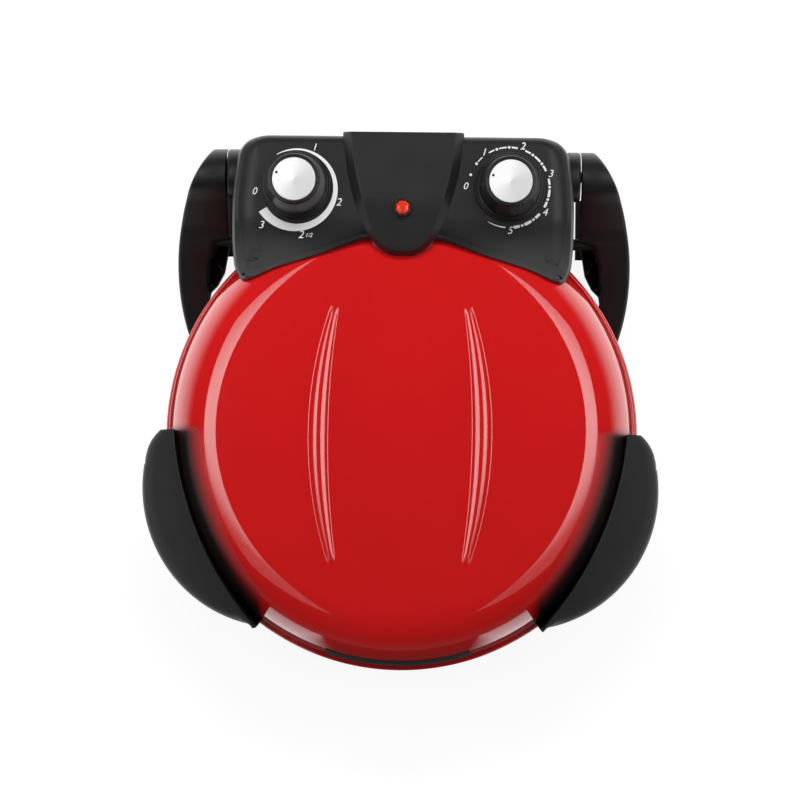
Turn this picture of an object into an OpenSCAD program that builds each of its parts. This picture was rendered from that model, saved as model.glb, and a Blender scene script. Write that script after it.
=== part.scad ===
// Countertop pizza oven: a round steel bowl with a baking stone, a domed lid that
// hinges at the back, a control housing fixed to the lid, two hinge arms and two lid handles.
// The bowl's axis is vertical. The origin is on the table, centred under the whole outline.

/* [Lid] */
// Outer radius of the rolled rim around the lid
rim_r = 172.5; // [168:0.5:180]
// How far the rim stands out from the lid's side wall
rim_step = 4.5; // [3.5:0.1:6]
// Radius of the round shoulder between the side wall and the top
shoulder_r = 33; // [26:1:38]
// Height of the shoulder's top above the lid's rim
lid_h = 56.5; // [50:0.5:62]
// Extra rise of the crown at the middle
crown_rise = 3; // [1:0.5:5]
// Sheet thickness of the lid and the bowl
sheet_t = 1.2; // [0.8:0.1:1.6]
// Radius of the rolled bead at the lid's rim
lid_bead_r = 2.4; // [1.8:0.1:3]
// Gap between the closed lid's rim and the bowl's rim
rim_gap = 0.5; // [0.3:0.1:0.9]
// Height of the pressed flutes above the crown
flute_h = 1.2; // [0.6:0.1:2]

/* [Bowl] */
// Height of the bowl's floor above the table
foot_h = 22; // [18:1:28]
// Depth of the bowl from its floor to its rim
bowl_h = 67; // [62:1:72]
// Radius of the bend between floor and wall
bowl_bend_r = 40; // [34:1:44]
// How far the bowl's wall leans outwards between its bend and its rim
bowl_lean = 8.6; // [6:0.2:11]
// How far the bowl's wall stands inside the lid's wall
bowl_step = 2; // [1.6:0.1:2.6]
// Radius of the rolled bead at the bowl's rim
bowl_bead_r = 2.2; // [1.6:0.1:2.6]

/* [Baking chamber] */
// Gap around the baking stone
stone_gap = 3.5; // [2.5:0.5:8]
// Thickness of the baking stone
stone_t = 12; // [8:1:14]
// Depth of the stone's top below the bowl's rim
stone_drop = 5; // [3:0.5:8]
// Gap between the bowl's wall and the reflector dishes
dish_gap = 7.5; // [6.5:0.1:9]
// Sheet thickness of the reflector dishes
liner_t = 1; // [0.6:0.1:1.2]
// Distance from the lid's shoulder top down to its reflector's ceiling
ceiling_drop = 13; // [10:0.5:18]
// Radius of the heating elements' tubes
element_r = 3.3; // [2.5:0.1:4]
// Distance from the stone's edge in to the heating elements' main turns
element_inset = 47; // [36:1:60]
// Distance between the two straight ends of an element
element_pitch = 40; // [30:1:60]
// Radius of the bends that lead an element's ends to the back
element_bend_r = 10; // [8:1:14]

/* [Control housing] */
// How much narrower than the rim the housing is, on each side
housing_inset = 50; // [46:0.5:54]
// How far the housing's rear wall stands behind the rim
housing_reach = 37.5; // [35:0.5:42]
// Height of the knob panel above the lid's rim
panel_h = 68.5; // [66:0.5:76]
// Height of the housing's underside above the lid's rim
housing_floor_h = 10.5; // [9:0.5:14]
// Wall thickness of the moulded parts
wall_t = 2.5; // [2:0.1:3]
// Height of the raised centre shield above the knob panel
fascia_h = 6; // [4:0.5:8]
// How far the shield's rear face stands behind the housing
fascia_proud = 2; // [1:0.5:4]
// How far the shield's tip reaches over the lid's top
fascia_overlap = 10.5; // [8:0.5:13]

/* [Knobs] */
// Distance from the housing's sides in to the knobs' axes
knob_inset = 46.3; // [42:0.1:50]
// Distance from the housing's rear wall to the knobs' axes
knob_ahead = 37; // [34:0.5:40]
// Diameter of a knob's skirt
knob_d = 50; // [44:1:54]
// Height of a knob above the panel
knob_h = 30; // [24:1:34]
// Diameter of the metal disc on a knob
cap_d = 30.6; // [26:0.2:34]
// Diameter of the knob spindles
spindle_d = 6; // [5:0.5:7]

/* [Hinge] */
// Distance from the housing's rear wall to the hinge axis
hinge_ahead = 23; // [21:0.5:26]
// Height of the hinge axis above the lid's rim
hinge_h = 28.5; // [26:0.5:32]
// Outer radius of the hinge eyes
eye_r = 18; // [15:0.5:19]
// Distance from the housing's sides to the arms' inner faces
arm_gap = 6.1; // [5.5:0.1:8]
// Diameter of the hinge pins
pin_d = 8; // [6:0.5:9]
// Wall of the steel bush around each pin
bush_t = 2; // [1.5:0.1:2.5]
// Wall thickness of the hinge arms
arm_t = 3.2; // [2.5:0.1:4]

/* [Handles] */
// Height of the handles' ridge above the lid's rim
ridge_h = 50; // [44:1:54]
// Height of the handles' lower edge above the lid's rim
handle_low_h = 12; // [9:1:18]
// Fall of the handles' top per millimetre outwards
handle_slope = 0.62; // [0.4:0.02:0.8]
// Wall thickness of the handles
handle_t = 3; // [2:0.1:3.6]

/* [Fits] */
// Radial running clearance of pins and spindles
run_fit = 0.05; // [0.02:0.01:0.09]
// Clearance between parts that are fixed together
fit_gap = 0.2; // [0.1:0.05:0.3]
// Clearance between the housing's hinge boss and the arm
side_gap = 0.6; // [0.4:0.1:1]

/* [Feet and small parts] */
// Thickness of the rubber foot pads
pad_t = 3; // [2:0.5:5]
// Distance from the edge of the bowl's floor in to the front feet
foot_inset = 10; // [8:1:24]
// Shaft diameter of the screws
screw_d = 4; // [3:0.5:5]
// Bore of the cord inlet
cord_bore_d = 7.2; // [6:0.2:9]

/* [Hidden] */
$fn = 96;

// Radii and places that follow from the rim
lid_wall_r = rim_r - rim_step;
bowl_wall_r = lid_wall_r - bowl_step;
bowl_floor_r = bowl_wall_r - bowl_lean - bowl_bend_r * cos(10);
liner_r = bowl_wall_r - dish_gap;
stone_d = 2 * (liner_r - stone_gap);
element_turn_r = stone_d / 2 - element_inset;
shoulder_c = lid_wall_r - shoulder_r;
housing_half_w = rim_r - housing_inset;
housing_rear = rim_r + housing_reach;
fascia_tip = shoulder_c - fascia_overlap;
knob_x = housing_half_w - knob_inset;
knob_y = housing_rear - knob_ahead;
hinge_y = housing_rear - hinge_ahead;
arm_x = housing_half_w + arm_gap;
foot_r = bowl_floor_r - foot_inset;
insulation_r = shoulder_c - 7;
dish_bend_r = bowl_bend_r - 6;

// Heights
bowl_z = foot_h;
bowl_rim_z = foot_h + bowl_h;
lid_rim_z = bowl_rim_z + rim_gap;
shoulder_z = lid_rim_z + lid_h;
panel_z = lid_rim_z + panel_h;
housing_z = lid_rim_z + housing_floor_h;
hinge_z = lid_rim_z + hinge_h;
ceiling_z = shoulder_z - ceiling_drop;
stone_top_z = bowl_rim_z - stone_drop;
stone_z = stone_top_z - stone_t;
reflector_z = bowl_z + 9;
lower_element_z = stone_z - 20;
upper_element_z = ceiling_z - 12;
ridge_z = lid_rim_z + ridge_h;

// The whole outline runs from the rim in front to the shield behind
rear_reach = housing_rear + fascia_proud;
axis_y = (rim_r - rear_reach) / 2;

// Middle and half length of the pressed flutes
flute_y = -3.5;
flute_half_l = shoulder_c - 45;

// Bearings of the fasteners and feet, counted from +X
handle_screw_angles = [-14, -40];
strip_half_a = 18.2;
handle_first_a = 1;
handle_last_a = -54;
clip_angles = [45, 135, 225, 315];
clip_r = liner_r - liner_t - fit_gap;
clip_t = 1.3;
front_foot_angles = [-52, -128];
arm_screw_a = 27.5;
arm_screw_z = bowl_z + 24;
bar_y = hinge_y - 43.5;
bar_z = [bowl_rim_z - 17, bowl_rim_z - 5];
bar_screw_z = bar_z[0] + 4.6;
handle_screw_z = lid_rim_z + 17;
pin_grip = 8.5;
lamp_y = knob_y - 16;
lamp_r = 5.4;
cord_x = -60;
cord_z = housing_z + 24;
bulb_y = shoulder_c - 47;
bulb_z = ceiling_z + 4;

// Bearings of the pointer dots, clockwise from the zero mark: thermostat, timer
pointer_a = [20.5, 17.5];
screw_head_d = screw_d + 3.4;
end_hole_d = 2 * element_r + 2.4;
boss_d = screw_d + 5;
cover_posts = [[housing_half_w - 74.5, housing_rear - 19], [housing_half_w - 13.5, knob_y - 22]];
housing_screw_xy = on_top(64.7, 9.9);
step = 0.02;

// Circles that draw a handle and an arm in plan, relative to the bowl's axis
handle_r = 99.2;
handle_c = (rim_r - 75.6) * [cos(25.8), -sin(25.8)];
handle_end_r = 30.6;
handle_end_c = (rim_r - 16.6) * [cos(9.3), -sin(9.3)];
ridge_r = 240.8;
ridge_c = (ridge_r - rim_r + 11.7) * [-cos(13.7), sin(13.7)];
arm_r = 145.9;
arm_end_a = 37.08;
arm_c = [arm_x + 9.3, hinge_y + eye_r] - arm_r * [cos(arm_end_a), sin(arm_end_a)];

// Crown's edge, where it runs smoothly into the shoulder
crown_a = atan(2 * crown_rise / shoulder_c);
crown_r = shoulder_c + shoulder_r * sin(crown_a);
crown_edge_z = shoulder_z - shoulder_r * (1 - cos(crown_a));

// Front corner of the housing's wings, and where its panel starts to fall
wing_y = rim_r - 65.5;
fold_y = knob_y - 23;

// Place at bearing a, at distance d outside the lid's flat top
function on_top(a, d) = (shoulder_c + d) * [cos(a), sin(a)];

function arc(cx, cy, r, a0, a1, n) =
    [for (i = [0:n]) [cx + r * cos(a0 + (a1 - a0) * i / n), cy + r * sin(a0 + (a1 - a0) * i / n)]];

// Outside of the lid, grown by g, from its rim up to the crown
function lid_curve(g) = concat(
    [[lid_wall_r + g, lid_rim_z + 2 * lid_bead_r]],
    arc(shoulder_c, shoulder_z - shoulder_r, shoulder_r + g, 0, 90 - crown_a, 12),
    [for (i = [1:6]) [crown_r * (1 - i / 6), crown_edge_z + g + crown_rise * (1 - pow(1 - i / 6, 2))]]);

// Outside of the bowl, grown by g, from its floor up to just below the rim
function bowl_curve(g) = concat(
    [[0, bowl_z - g]],
    arc(bowl_floor_r, bowl_z + bowl_bend_r, bowl_bend_r + g, -90, -10, 8),
    [[bowl_wall_r + g, bowl_rim_z - 2 * bowl_bead_r]]);

// Outside of the lower reflector, grown by g
function dish_curve(g) = concat(
    [[0, reflector_z - g]],
    arc(bowl_floor_r - 4, reflector_z + dish_bend_r, dish_bend_r + g, -90, -12, 7),
    [[liner_r + g, stone_z - 6], [liner_r + g, bowl_rim_z - 8]]);

// Outside of the lid's reflector, grown by g
function ceiling_curve(g) = concat(
    [[liner_r + g, lid_rim_z + 6]],
    arc(liner_r - 26, ceiling_z - 26, 26 + g, 0, 90, 7),
    [[0, ceiling_z + g]]);

// Radii of the sheets at height z: bowl's inside, lower reflector's outside, lid's inside
// and lid reflector's outside
function on_bend(c_r, c_z, r, z) = c_r + sqrt(pow(r, 2) - pow(z - c_z, 2));
function bowl_inside(z) = z < bowl_z + bowl_bend_r * (1 - sin(10))
    ? on_bend(bowl_floor_r, bowl_z + bowl_bend_r, bowl_bend_r - sheet_t, z)
    : bowl_side(z) - sheet_t;
function bowl_side(z) = let (z0 = bowl_z + bowl_bend_r * (1 - sin(10)))
    bowl_wall_r - bowl_lean * (1 - (z - z0) / (bowl_rim_z - 2 * bowl_bead_r - z0));
function dish_outside(z) = on_bend(bowl_floor_r - 4, reflector_z + dish_bend_r, dish_bend_r, z);
function lid_inside(z) = on_bend(shoulder_c, shoulder_z - shoulder_r, shoulder_r - sheet_t, z);
function ceiling_outside(z) = on_bend(liner_r - 26, ceiling_z - 26, 26, z);

function reversed(v) = [for (i = [len(v) - 1:-1:0]) v[i]];

module about_axis() {
    translate([0, axis_y, 0]) children();
}

// Draws a right-hand shape, or its mirror image when side is -1
module on_side(side) {
    if (side > 0) children();
    else mirror([1, 0, 0]) children();
}

module tube(ro, ri, h) {
    difference() {
        cylinder(r = ro, h = h);
        translate([0, 0, -1]) cylinder(r = ri, h = h + 2);
    }
}

// Part of a ring between two bearings
module ring_sector(r1, r2, z1, z2, a1, a2) {
    rotate([0, 0, a1]) rotate_extrude(angle = a2 - a1)
        translate([r1, z1]) square([r2 - r1, z2 - z1]);
}

// A solid of the lid's outside grown by g, used to cut what sits against it
module lid_solid(g) {
    rotate_extrude() polygon(concat(
        [[0, lid_rim_z - 20], [rim_r + g, lid_rim_z - 20], [rim_r + g, lid_rim_z + 2 * lid_bead_r + g]],
        [[lid_wall_r + g, lid_rim_z + 2 * lid_bead_r + g]],
        [for (p = lid_curve(g)) if (p[1] > lid_rim_z + 2 * lid_bead_r + g) p]));
}

// A solid of the bowl's outside grown by g
module bowl_solid(g) {
    rotate_extrude() polygon(concat(bowl_curve(g),
        [[bowl_wall_r + g, bowl_rim_z + 1], [0, bowl_rim_z + 1]]));
}

// A bar along X with its side profile in Y and Z
module along_x(x1, x2) {
    translate([x1, 0, 0]) rotate([90, 0, 90]) linear_extrude(x2 - x1) children();
}

// Screw with a round head, its shaft along +Z and the head below
module screw(len, d = screw_d) {
    cylinder(d = d, h = len);
    translate([0, 0, -2.4]) cylinder(d = d + 3.4, h = 2.4);
}

// Turns +Z to point outwards at bearing a, starting at radius r and height z
module outwards(a, r, z) {
    rotate([0, 0, a]) translate([r, 0, z]) rotate([0, 90, 0]) children();
}

/* ---- Bowl ---- */

module base_shell() {
    bead_c = rim_r - 1.3 - bowl_bead_r;
    color("firebrick") about_axis() difference() {
        union() {
            rotate_extrude() polygon(concat(bowl_curve(0), reversed(bowl_curve(-sheet_t))));
            rotate_extrude() union() {
                translate([bead_c, bowl_rim_z - bowl_bead_r]) circle(r = bowl_bead_r, $fn = 32);
                translate([bowl_wall_r - sheet_t, bowl_rim_z - 2 * bowl_bead_r - step])
                    square([bead_c - bowl_wall_r + sheet_t, sheet_t + 0.4]);
            }
        }
        for (s = [1, -1]) on_side(s) {
            outwards(arm_screw_a, bowl_floor_r, arm_screw_z) cylinder(d = screw_d + 2 * fit_gap, h = 60);
            bar_screw_at(-20) cylinder(d = screw_d + 2 * fit_gap, h = 40);
        }
        for (a = front_foot_angles) rotate([0, 0, a]) translate([foot_r, 0, bowl_z - 1])
            cylinder(d = screw_d + 2 * fit_gap, h = sheet_t + 2);
        element_end_holes(lower_element_z);
    }
}

// Lower reflector, with a flange that hangs on the bowl's wall
module base_reflector() {
    flange_z = bowl_rim_z - 8;
    flange_r = bowl_inside(flange_z) - fit_gap;
    color("gainsboro") about_axis() difference() {
        rotate_extrude() polygon(concat(dish_curve(0),
            [[flange_r, flange_z], [flange_r, flange_z + liner_t]],
            [[liner_r - liner_t, flange_z + liner_t]],
            [for (p = reversed(dish_curve(-liner_t))) if (p[1] < flange_z) p]));
        element_end_holes(lower_element_z);
    }
}

module baking_stone() {
    color("tan") about_axis() translate([0, 0, stone_z]) cylinder(d = stone_d, h = stone_t);
}

// Bent tabs on the reflector's wall that carry the stone
module stone_clips() {
    color("silver") about_axis() for (a = clip_angles) {
        ring_sector(stone_d / 2 - 10, clip_r, stone_z - clip_t, stone_z, a - 3, a + 3);
        ring_sector(clip_r - clip_t, clip_r, stone_z - step, stone_top_z - 2, a - 3, a + 3);
    }
}

// Ring of tube whose two ends bend outwards and leave towards the back
module element(z) {
    half = element_pitch / 2;
    turn_a = acos((half + element_bend_r) / (element_turn_r + element_bend_r));
    bend_y = (element_turn_r + element_bend_r) * sin(turn_a);
    translate([0, 0, z]) {
        rotate([0, 0, 180 - turn_a]) rotate_extrude(angle = 180 + 2 * turn_a)
            translate([element_turn_r, 0]) circle(r = element_r, $fn = 32);
        for (s = [1, -1]) on_side(s) {
            translate([half + element_bend_r, bend_y, 0]) rotate([0, 0, 180])
                rotate_extrude(angle = turn_a) translate([element_bend_r, 0])
                    circle(r = element_r, $fn = 32);
            translate([half, bend_y, 0]) rotate([-90, 0, 0])
                cylinder(r = element_r, h = bowl_wall_r + 6 - bend_y, $fn = 32);
        }
    }
}

// Round rod between two points
module rod(p, q, r) {
    d = q - p;
    len = norm(d);
    translate(p) rotate([0, acos(d[2] / len), atan2(d[1], d[0])]) cylinder(r = r, h = len);
}

// Holes for the two ends of an element
module element_end_holes(z) {
    for (s = [1, -1]) translate([s * element_pitch / 2, bowl_floor_r, z]) rotate([-90, 0, 0])
        cylinder(d = end_hole_d, h = 80);
}

module lower_element() {
    color("dimgray") about_axis() element(lower_element_z);
}

// Upright clips that hold an element off its reflector; dir is 1 above a floor, -1 below a ceiling
module element_clips(z, seat_z, dir) {
    for (a = [0, 180, 225, 315]) rotate([0, 0, a]) {
        h = abs(z - seat_z);
        translate([element_turn_r, 0, z]) difference() {
            translate([-6, -3, dir > 0 ? -h : -element_r - 1.5]) cube([12, 6, h + element_r + 1.5]);
            rotate([90, 0, 0]) translate([0, 0, -10]) cylinder(r = element_r + fit_gap, h = 20);
        }
    }
}

module lower_element_brackets() {
    color("silver") about_axis() element_clips(lower_element_z, reflector_z + liner_t + step, 1);
}

// Ceramic bushing around each element end; its collar sits against the reflector, whose
// outside there is at radius r
module end_bushings(z, r) {
    collar_y = sqrt(pow(r, 2) - pow(element_pitch / 2 - 7, 2)) + fit_gap;
    for (s = [1, -1]) translate([s * element_pitch / 2, collar_y - 7, z]) rotate([-90, 0, 0])
        difference() {
            union() {
                cylinder(d = end_hole_d - 2 * fit_gap, h = 19);
                translate([0, 0, 7]) cylinder(d = 14, h = 2.8);
            }
            translate([0, 0, -1]) cylinder(r = element_r + run_fit, h = 24);
        }
}

module lower_element_terminals() {
    color("ivory") about_axis() end_bushings(lower_element_z, dish_outside(lower_element_z + 7));
}

// Small box that covers the lower element's ends behind the bowl
module terminal_cover() {
    w = element_pitch + 30;
    depth = bowl_wall_r + 14;
    color("dimgray") about_axis() difference() {
        translate([-w / 2, bowl_wall_r - 22, lower_element_z - 12])
            cube([w, depth - bowl_wall_r + 22, 24]);
        translate([-w / 2 + 1.5, bowl_wall_r - 24, lower_element_z - 10.5])
            cube([w - 3, depth - bowl_wall_r + 22.5, 21]);
        bowl_solid(0.02);
    }
}

/* ---- Hinge arms, feet ---- */

// Plan of an arm, a crescent behind and beside the bowl, drawn in by i; its hollow is
// let out by w on the inner side in front of the tower
module arm_plan(i, w = 0) {
    intersection() {
        linear_extrude(bowl_rim_z + 90) polygon([[arm_x + i, hinge_y + eye_r + 1 - i],
            [arm_x + i, bar_y + 4 + i], [arm_x + 12 + i, bar_y + 2 + i], [arm_x + 14.3 + i, bar_y - 4],
            [arm_x + 14.3 - w, bar_y - 5], [arm_x + 18.4 - w, bar_y - 24], [arm_x + 9 - w, bar_y - 74],
            [arm_x - w, bar_y - 104], [rim_r + 3, bar_y - 104], [rim_r + 3, hinge_y + eye_r + 1 - i]]);
        translate([arm_c[0], arm_c[1], 0]) cylinder(r = arm_r - i, h = bowl_rim_z + 90);
    }
}

// Side view of an arm, drawn in by i at its top and back
module arm_side(i) {
    translate([hinge_y, hinge_z]) circle(r = eye_r - i);
    polygon([[hinge_y + eye_r - i, hinge_z], [hinge_y + 8 - i, pad_t], [hinge_y - 52, pad_t],
        [hinge_y - 83, bowl_z + 8], [hinge_y - 129, bowl_z + 22], [hinge_y - 125 + i, bowl_z + 28 - i],
        [hinge_y - 105, bowl_z + 38 - 1.3 * i], [hinge_y - 70, bowl_z + 58 - 1.3 * i],
        [hinge_y - 37, hinge_z - 14 - 1.3 * i], [hinge_y - 12, hinge_z + 13.4 - i]]);
}

module hinge_arm() {
    bar_x = sqrt(pow(bowl_wall_r, 2) - pow(bar_y + 4, 2)) - 4;
    difference() {
        union() {
            difference() {
                intersection() {
                    arm_plan(0);
                    along_x(arm_x - 10, rim_r + 8) arm_side(0);
                }
                difference() {
                    intersection() {
                        arm_plan(arm_t, 12);
                        along_x(arm_x - 10, rim_r + 8) arm_side(arm_t);
                    }
                    // Solid hub around the pin, and the ribs between the walls
                    translate([0, hinge_y, hinge_z]) rotate([0, 90, 0])
                        cylinder(r = pin_d + 2, h = rim_r);
                    for (y = [hinge_y - 22, hinge_y - 50, hinge_y - 78])
                        translate([arm_x + 2, y, 0]) cube([60, 2.4, hinge_z + eye_r]);
                }
            }
            // Bar from the tower to the bowl
            translate([bar_x, bar_y - 4, bar_z[0]]) cube([arm_x + 18 - bar_x, 7.5, bar_z[1] - bar_z[0]]);
            // Ledge that reaches the bowl beside the front screw
            translate([arm_x, hinge_y - 125, arm_screw_z - 7]) cube([28, 14, 13]);
            // Foot under the tower
            translate([arm_x, hinge_y - 48, pad_t]) cube([22, 50, 9]);
        }
        bowl_solid(fit_gap);
        // Room for the bowl's bead and the lid's rim
        rotate_extrude() translate([bowl_wall_r - 6, bowl_rim_z - 6.5])
            square([rim_r - bowl_wall_r + 8, 30]);
        translate([arm_x - 1, hinge_y, hinge_z]) rotate([0, 90, 0]) {
            cylinder(d = pin_d + 2 * step, h = pin_grip + 1);
        }
        outwards(arm_screw_a, bowl_floor_r, arm_screw_z) cylinder(d = screw_d + 2 * run_fit, h = 52);
        bar_screw_at(-20) cylinder(d = screw_d + 2 * run_fit, h = 34);
        // Room for the pad's pegs
        for (y = [hinge_y - 38, hinge_y - 10]) translate([arm_x + 11, y, pad_t - 1]) cylinder(d = 5, h = 5);
    }
}

// Line of the screw that holds the bar to the bowl
module bar_screw_at(back) {
    a = atan2(bar_y, sqrt(pow(bowl_wall_r, 2) - pow(bar_y, 2)));
    outwards(a, bowl_wall_r + back, bar_screw_z) children();
}

module hinge_arm_left() {
    color([0.13, 0.13, 0.14]) about_axis() on_side(-1) hinge_arm();
}

module hinge_arm_right() {
    color([0.13, 0.13, 0.14]) about_axis() on_side(1) hinge_arm();
}

// Screws through the bowl's wall into the arms, heads inside the wall
module arm_screws() {
    color("silver") about_axis() for (s = [1, -1]) on_side(s) {
        outwards(arm_screw_a, bowl_inside(arm_screw_z - screw_head_d / 2) - 0.1, arm_screw_z) screw(14);
        bar_screw_at(bowl_inside(bar_screw_z - screw_head_d / 2) - 0.1 - bowl_wall_r) screw(13);
    }
}

// Pin pressed into a blind hole of the arm, with a groove at its inner end
module hinge_pin() {
    translate([arm_x - 24, hinge_y, hinge_z]) rotate([0, 90, 0]) difference() {
        cylinder(d = pin_d, h = 24 + pin_grip);
        translate([0, 0, 1.6]) tube(pin_d / 2 + 1, pin_d / 2 - 0.6, 1.2);
    }
}

module hinge_pin_left() {
    color("silver") about_axis() on_side(-1) hinge_pin();
}

module hinge_pin_right() {
    color("silver") about_axis() on_side(1) hinge_pin();
}

module pin_circlips() {
    color("gray") about_axis() for (s = [1, -1]) on_side(s) translate([arm_x - 22.3, hinge_y, hinge_z])
        rotate([0, 90, 0]) difference() {
            tube(pin_d / 2 + 2.2, pin_d / 2 - 0.5, 1);
            translate([0, -2, -1]) cube([20, 4, 4]);
        }
}

module front_feet() {
    color([0.13, 0.13, 0.14]) about_axis() for (a = front_foot_angles) rotate([0, 0, a])
        translate([foot_r, 0, pad_t]) difference() {
            cylinder(r1 = 12, r2 = 15, h = bowl_z - pad_t);
            translate([0, 0, 3]) cylinder(d = screw_d, h = 40);
            translate([0, 0, -1]) cylinder(d = 5, h = 4);
        }
}

// Rubber pads, each with a round peg pressed into its foot
module foot_pads() {
    color("black") about_axis() {
        for (a = front_foot_angles) rotate([0, 0, a]) translate([foot_r, 0, 0]) {
            cylinder(r = 11, h = pad_t);
            cylinder(d = 5 - 2 * fit_gap, h = pad_t + 2.4);
        }
        for (s = [1, -1]) on_side(s) {
            translate([arm_x + 2, hinge_y - 46, 0]) cube([18, 46, pad_t]);
            for (y = [hinge_y - 38, hinge_y - 10]) translate([arm_x + 11, y, 0])
                cylinder(d = 5 - 2 * fit_gap, h = pad_t + 3.4);
        }
    }
}

// Screws through the bowl's floor down into the front feet
module foot_screws() {
    color("silver") about_axis() for (a = front_foot_angles) rotate([0, 0, a])
        translate([foot_r, 0, bowl_z + sheet_t]) mirror([0, 0, 1]) screw(12);
}

/* ---- Lid ---- */

// Pressed flutes on the crown: on each side one rib between arcs that lean inwards at both ends
module flutes() {
    intersection() {
        lid_solid(flute_h);
        for (s = [1, -1]) on_side(s) flute(44.8, 51, 51.2, 65.4);
    }
}

// One rib: its inner and outer arcs go from a tip to a middle
module flute(in_tip, in_middle, out_tip, out_middle) {
    translate([0, flute_y, shoulder_z - 2]) difference() {
        arc_disc(out_tip, out_middle, 20);
        translate([0, 0, -1]) arc_disc(in_tip, in_middle, 22);
        translate([-rim_r, flute_half_l, -1]) cube([2 * rim_r, rim_r, 22]);
        translate([-rim_r, -rim_r - flute_half_l, -1]) cube([2 * rim_r, rim_r, 22]);
    }
}

// Disc whose edge passes through a rib's tips and its middle
module arc_disc(tip, middle, h) {
    rise = middle - tip;
    r = (pow(flute_half_l, 2) + pow(rise, 2)) / (2 * rise);
    translate([middle - r, 0, 0]) cylinder(r = r, h = h, $fn = 360);
}

module lid_shell() {
    bead_c = rim_r - lid_bead_r;
    color("red") about_axis() difference() {
        union() {
            rotate_extrude() polygon(concat(lid_curve(0), reversed(lid_curve(-sheet_t))));
            rotate_extrude() difference() {
                translate([bead_c, lid_rim_z + lid_bead_r]) circle(r = lid_bead_r, $fn = 32);
                translate([bead_c, lid_rim_z + lid_bead_r]) circle(r = lid_bead_r - sheet_t, $fn = 32);
            }
            rotate_extrude() translate([lid_wall_r - sheet_t, lid_rim_z + 2 * lid_bead_r - sheet_t])
                square([bead_c - lid_wall_r + sheet_t, sheet_t]);
            difference() {
                flutes();
                lid_solid(-sheet_t / 2);
            }
        }
        for (s = [1, -1]) on_side(s) {
            for (a = handle_screw_angles)
                outwards(a, lid_wall_r - 10, handle_screw_z) cylinder(d = screw_d + 2 * fit_gap, h = 20);
            translate([housing_screw_xy[0], housing_screw_xy[1], shoulder_z - 20])
                cylinder(d = screw_d + 2 * fit_gap, h = 40);
        }
        element_end_holes(upper_element_z);
        // Way for the thermostat's thin tube
        translate([-element_pitch, bowl_floor_r, bulb_z]) rotate([-90, 0, 0]) cylinder(d = 4, h = 80);
    }
}

module lid_reflector() {
    flange_z = lid_rim_z + 6;
    color("gainsboro") about_axis() difference() {
        rotate_extrude() polygon(concat([[lid_wall_r - sheet_t - fit_gap, flange_z]], ceiling_curve(0),
            reversed(ceiling_curve(-liner_t)), [[liner_r - liner_t, flange_z - liner_t]],
            [[lid_wall_r - sheet_t - fit_gap, flange_z - liner_t]]));
        element_end_holes(upper_element_z);
    }
}

// Ceramic-fibre mat between the reflector and the lid
module lid_insulation() {
    color("white") about_axis() difference() {
        translate([0, 0, ceiling_z + fit_gap]) cylinder(r = insulation_r, h = ceiling_drop - sheet_t - 1.5);
        for (s = [1, -1]) translate([s * housing_screw_xy[0], housing_screw_xy[1], ceiling_z - 5])
            cylinder(r = 16, h = 40);
        translate([-62, bulb_y - 6, ceiling_z - 1]) cube([100, 12, 9]);
        translate([-62, bulb_y - 6, ceiling_z - 1]) cube([24, 60, 9]);
    }
}

module upper_element() {
    color("dimgray") about_axis() element(upper_element_z);
}

module upper_element_brackets() {
    color("silver") about_axis() element_clips(upper_element_z, ceiling_z - liner_t - step, -1);
}

module upper_element_terminals() {
    color("ivory") about_axis() end_bushings(upper_element_z, ceiling_outside(upper_element_z - 7));
}

/* ---- Control housing ---- */

// Right half of the housing's plan, drawn in by i
function housing_half(i) = [
    [housing_half_w - 21, housing_rear - i], [housing_half_w - 11, housing_rear - 2.6 - i],
    [housing_half_w - 4.5 - i, housing_rear - 11 - i], [housing_half_w - i, housing_rear - 40],
    [housing_half_w - i, wing_y + 24], [housing_half_w - 1.6 - i, wing_y + 9],
    [housing_half_w - 7 - i, wing_y + i], [housing_half_w - 14.5 - i, wing_y + 1 + i],
    on_top(51.5, 12.7) + [0, i], on_top(65.2, 3.3) + [0, i], on_top(73.1, 3) + [0, i],
    on_top(78.8, 3.7) + [0, i]];

module housing_plan(i) {
    linear_extrude(panel_z + 40)
        polygon(concat(housing_half(i), [for (p = reversed(housing_half(i))) [-p[0], p[1]]]));
}

// Side view of the housing, drawn in by i
module housing_side(i) {
    low = housing_z - (i > 0 ? 5 : 0);
    polygon([[fold_y - 60, low], [housing_rear - 14 - i / 2, low], [housing_rear - i, housing_z + 15],
        [housing_rear - i, panel_z - 10 - i], [housing_rear - 2.4 - i, panel_z - 3.5 - i],
        [housing_rear - 8 - i, panel_z - i], [fold_y, panel_z - i],
        [fold_y - 60, panel_z - 21.3 - i * 1.05]]);
}

module housing_form(i) {
    intersection() {
        housing_plan(i);
        along_x(-rim_r, rim_r) housing_side(i);
    }
}

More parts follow.
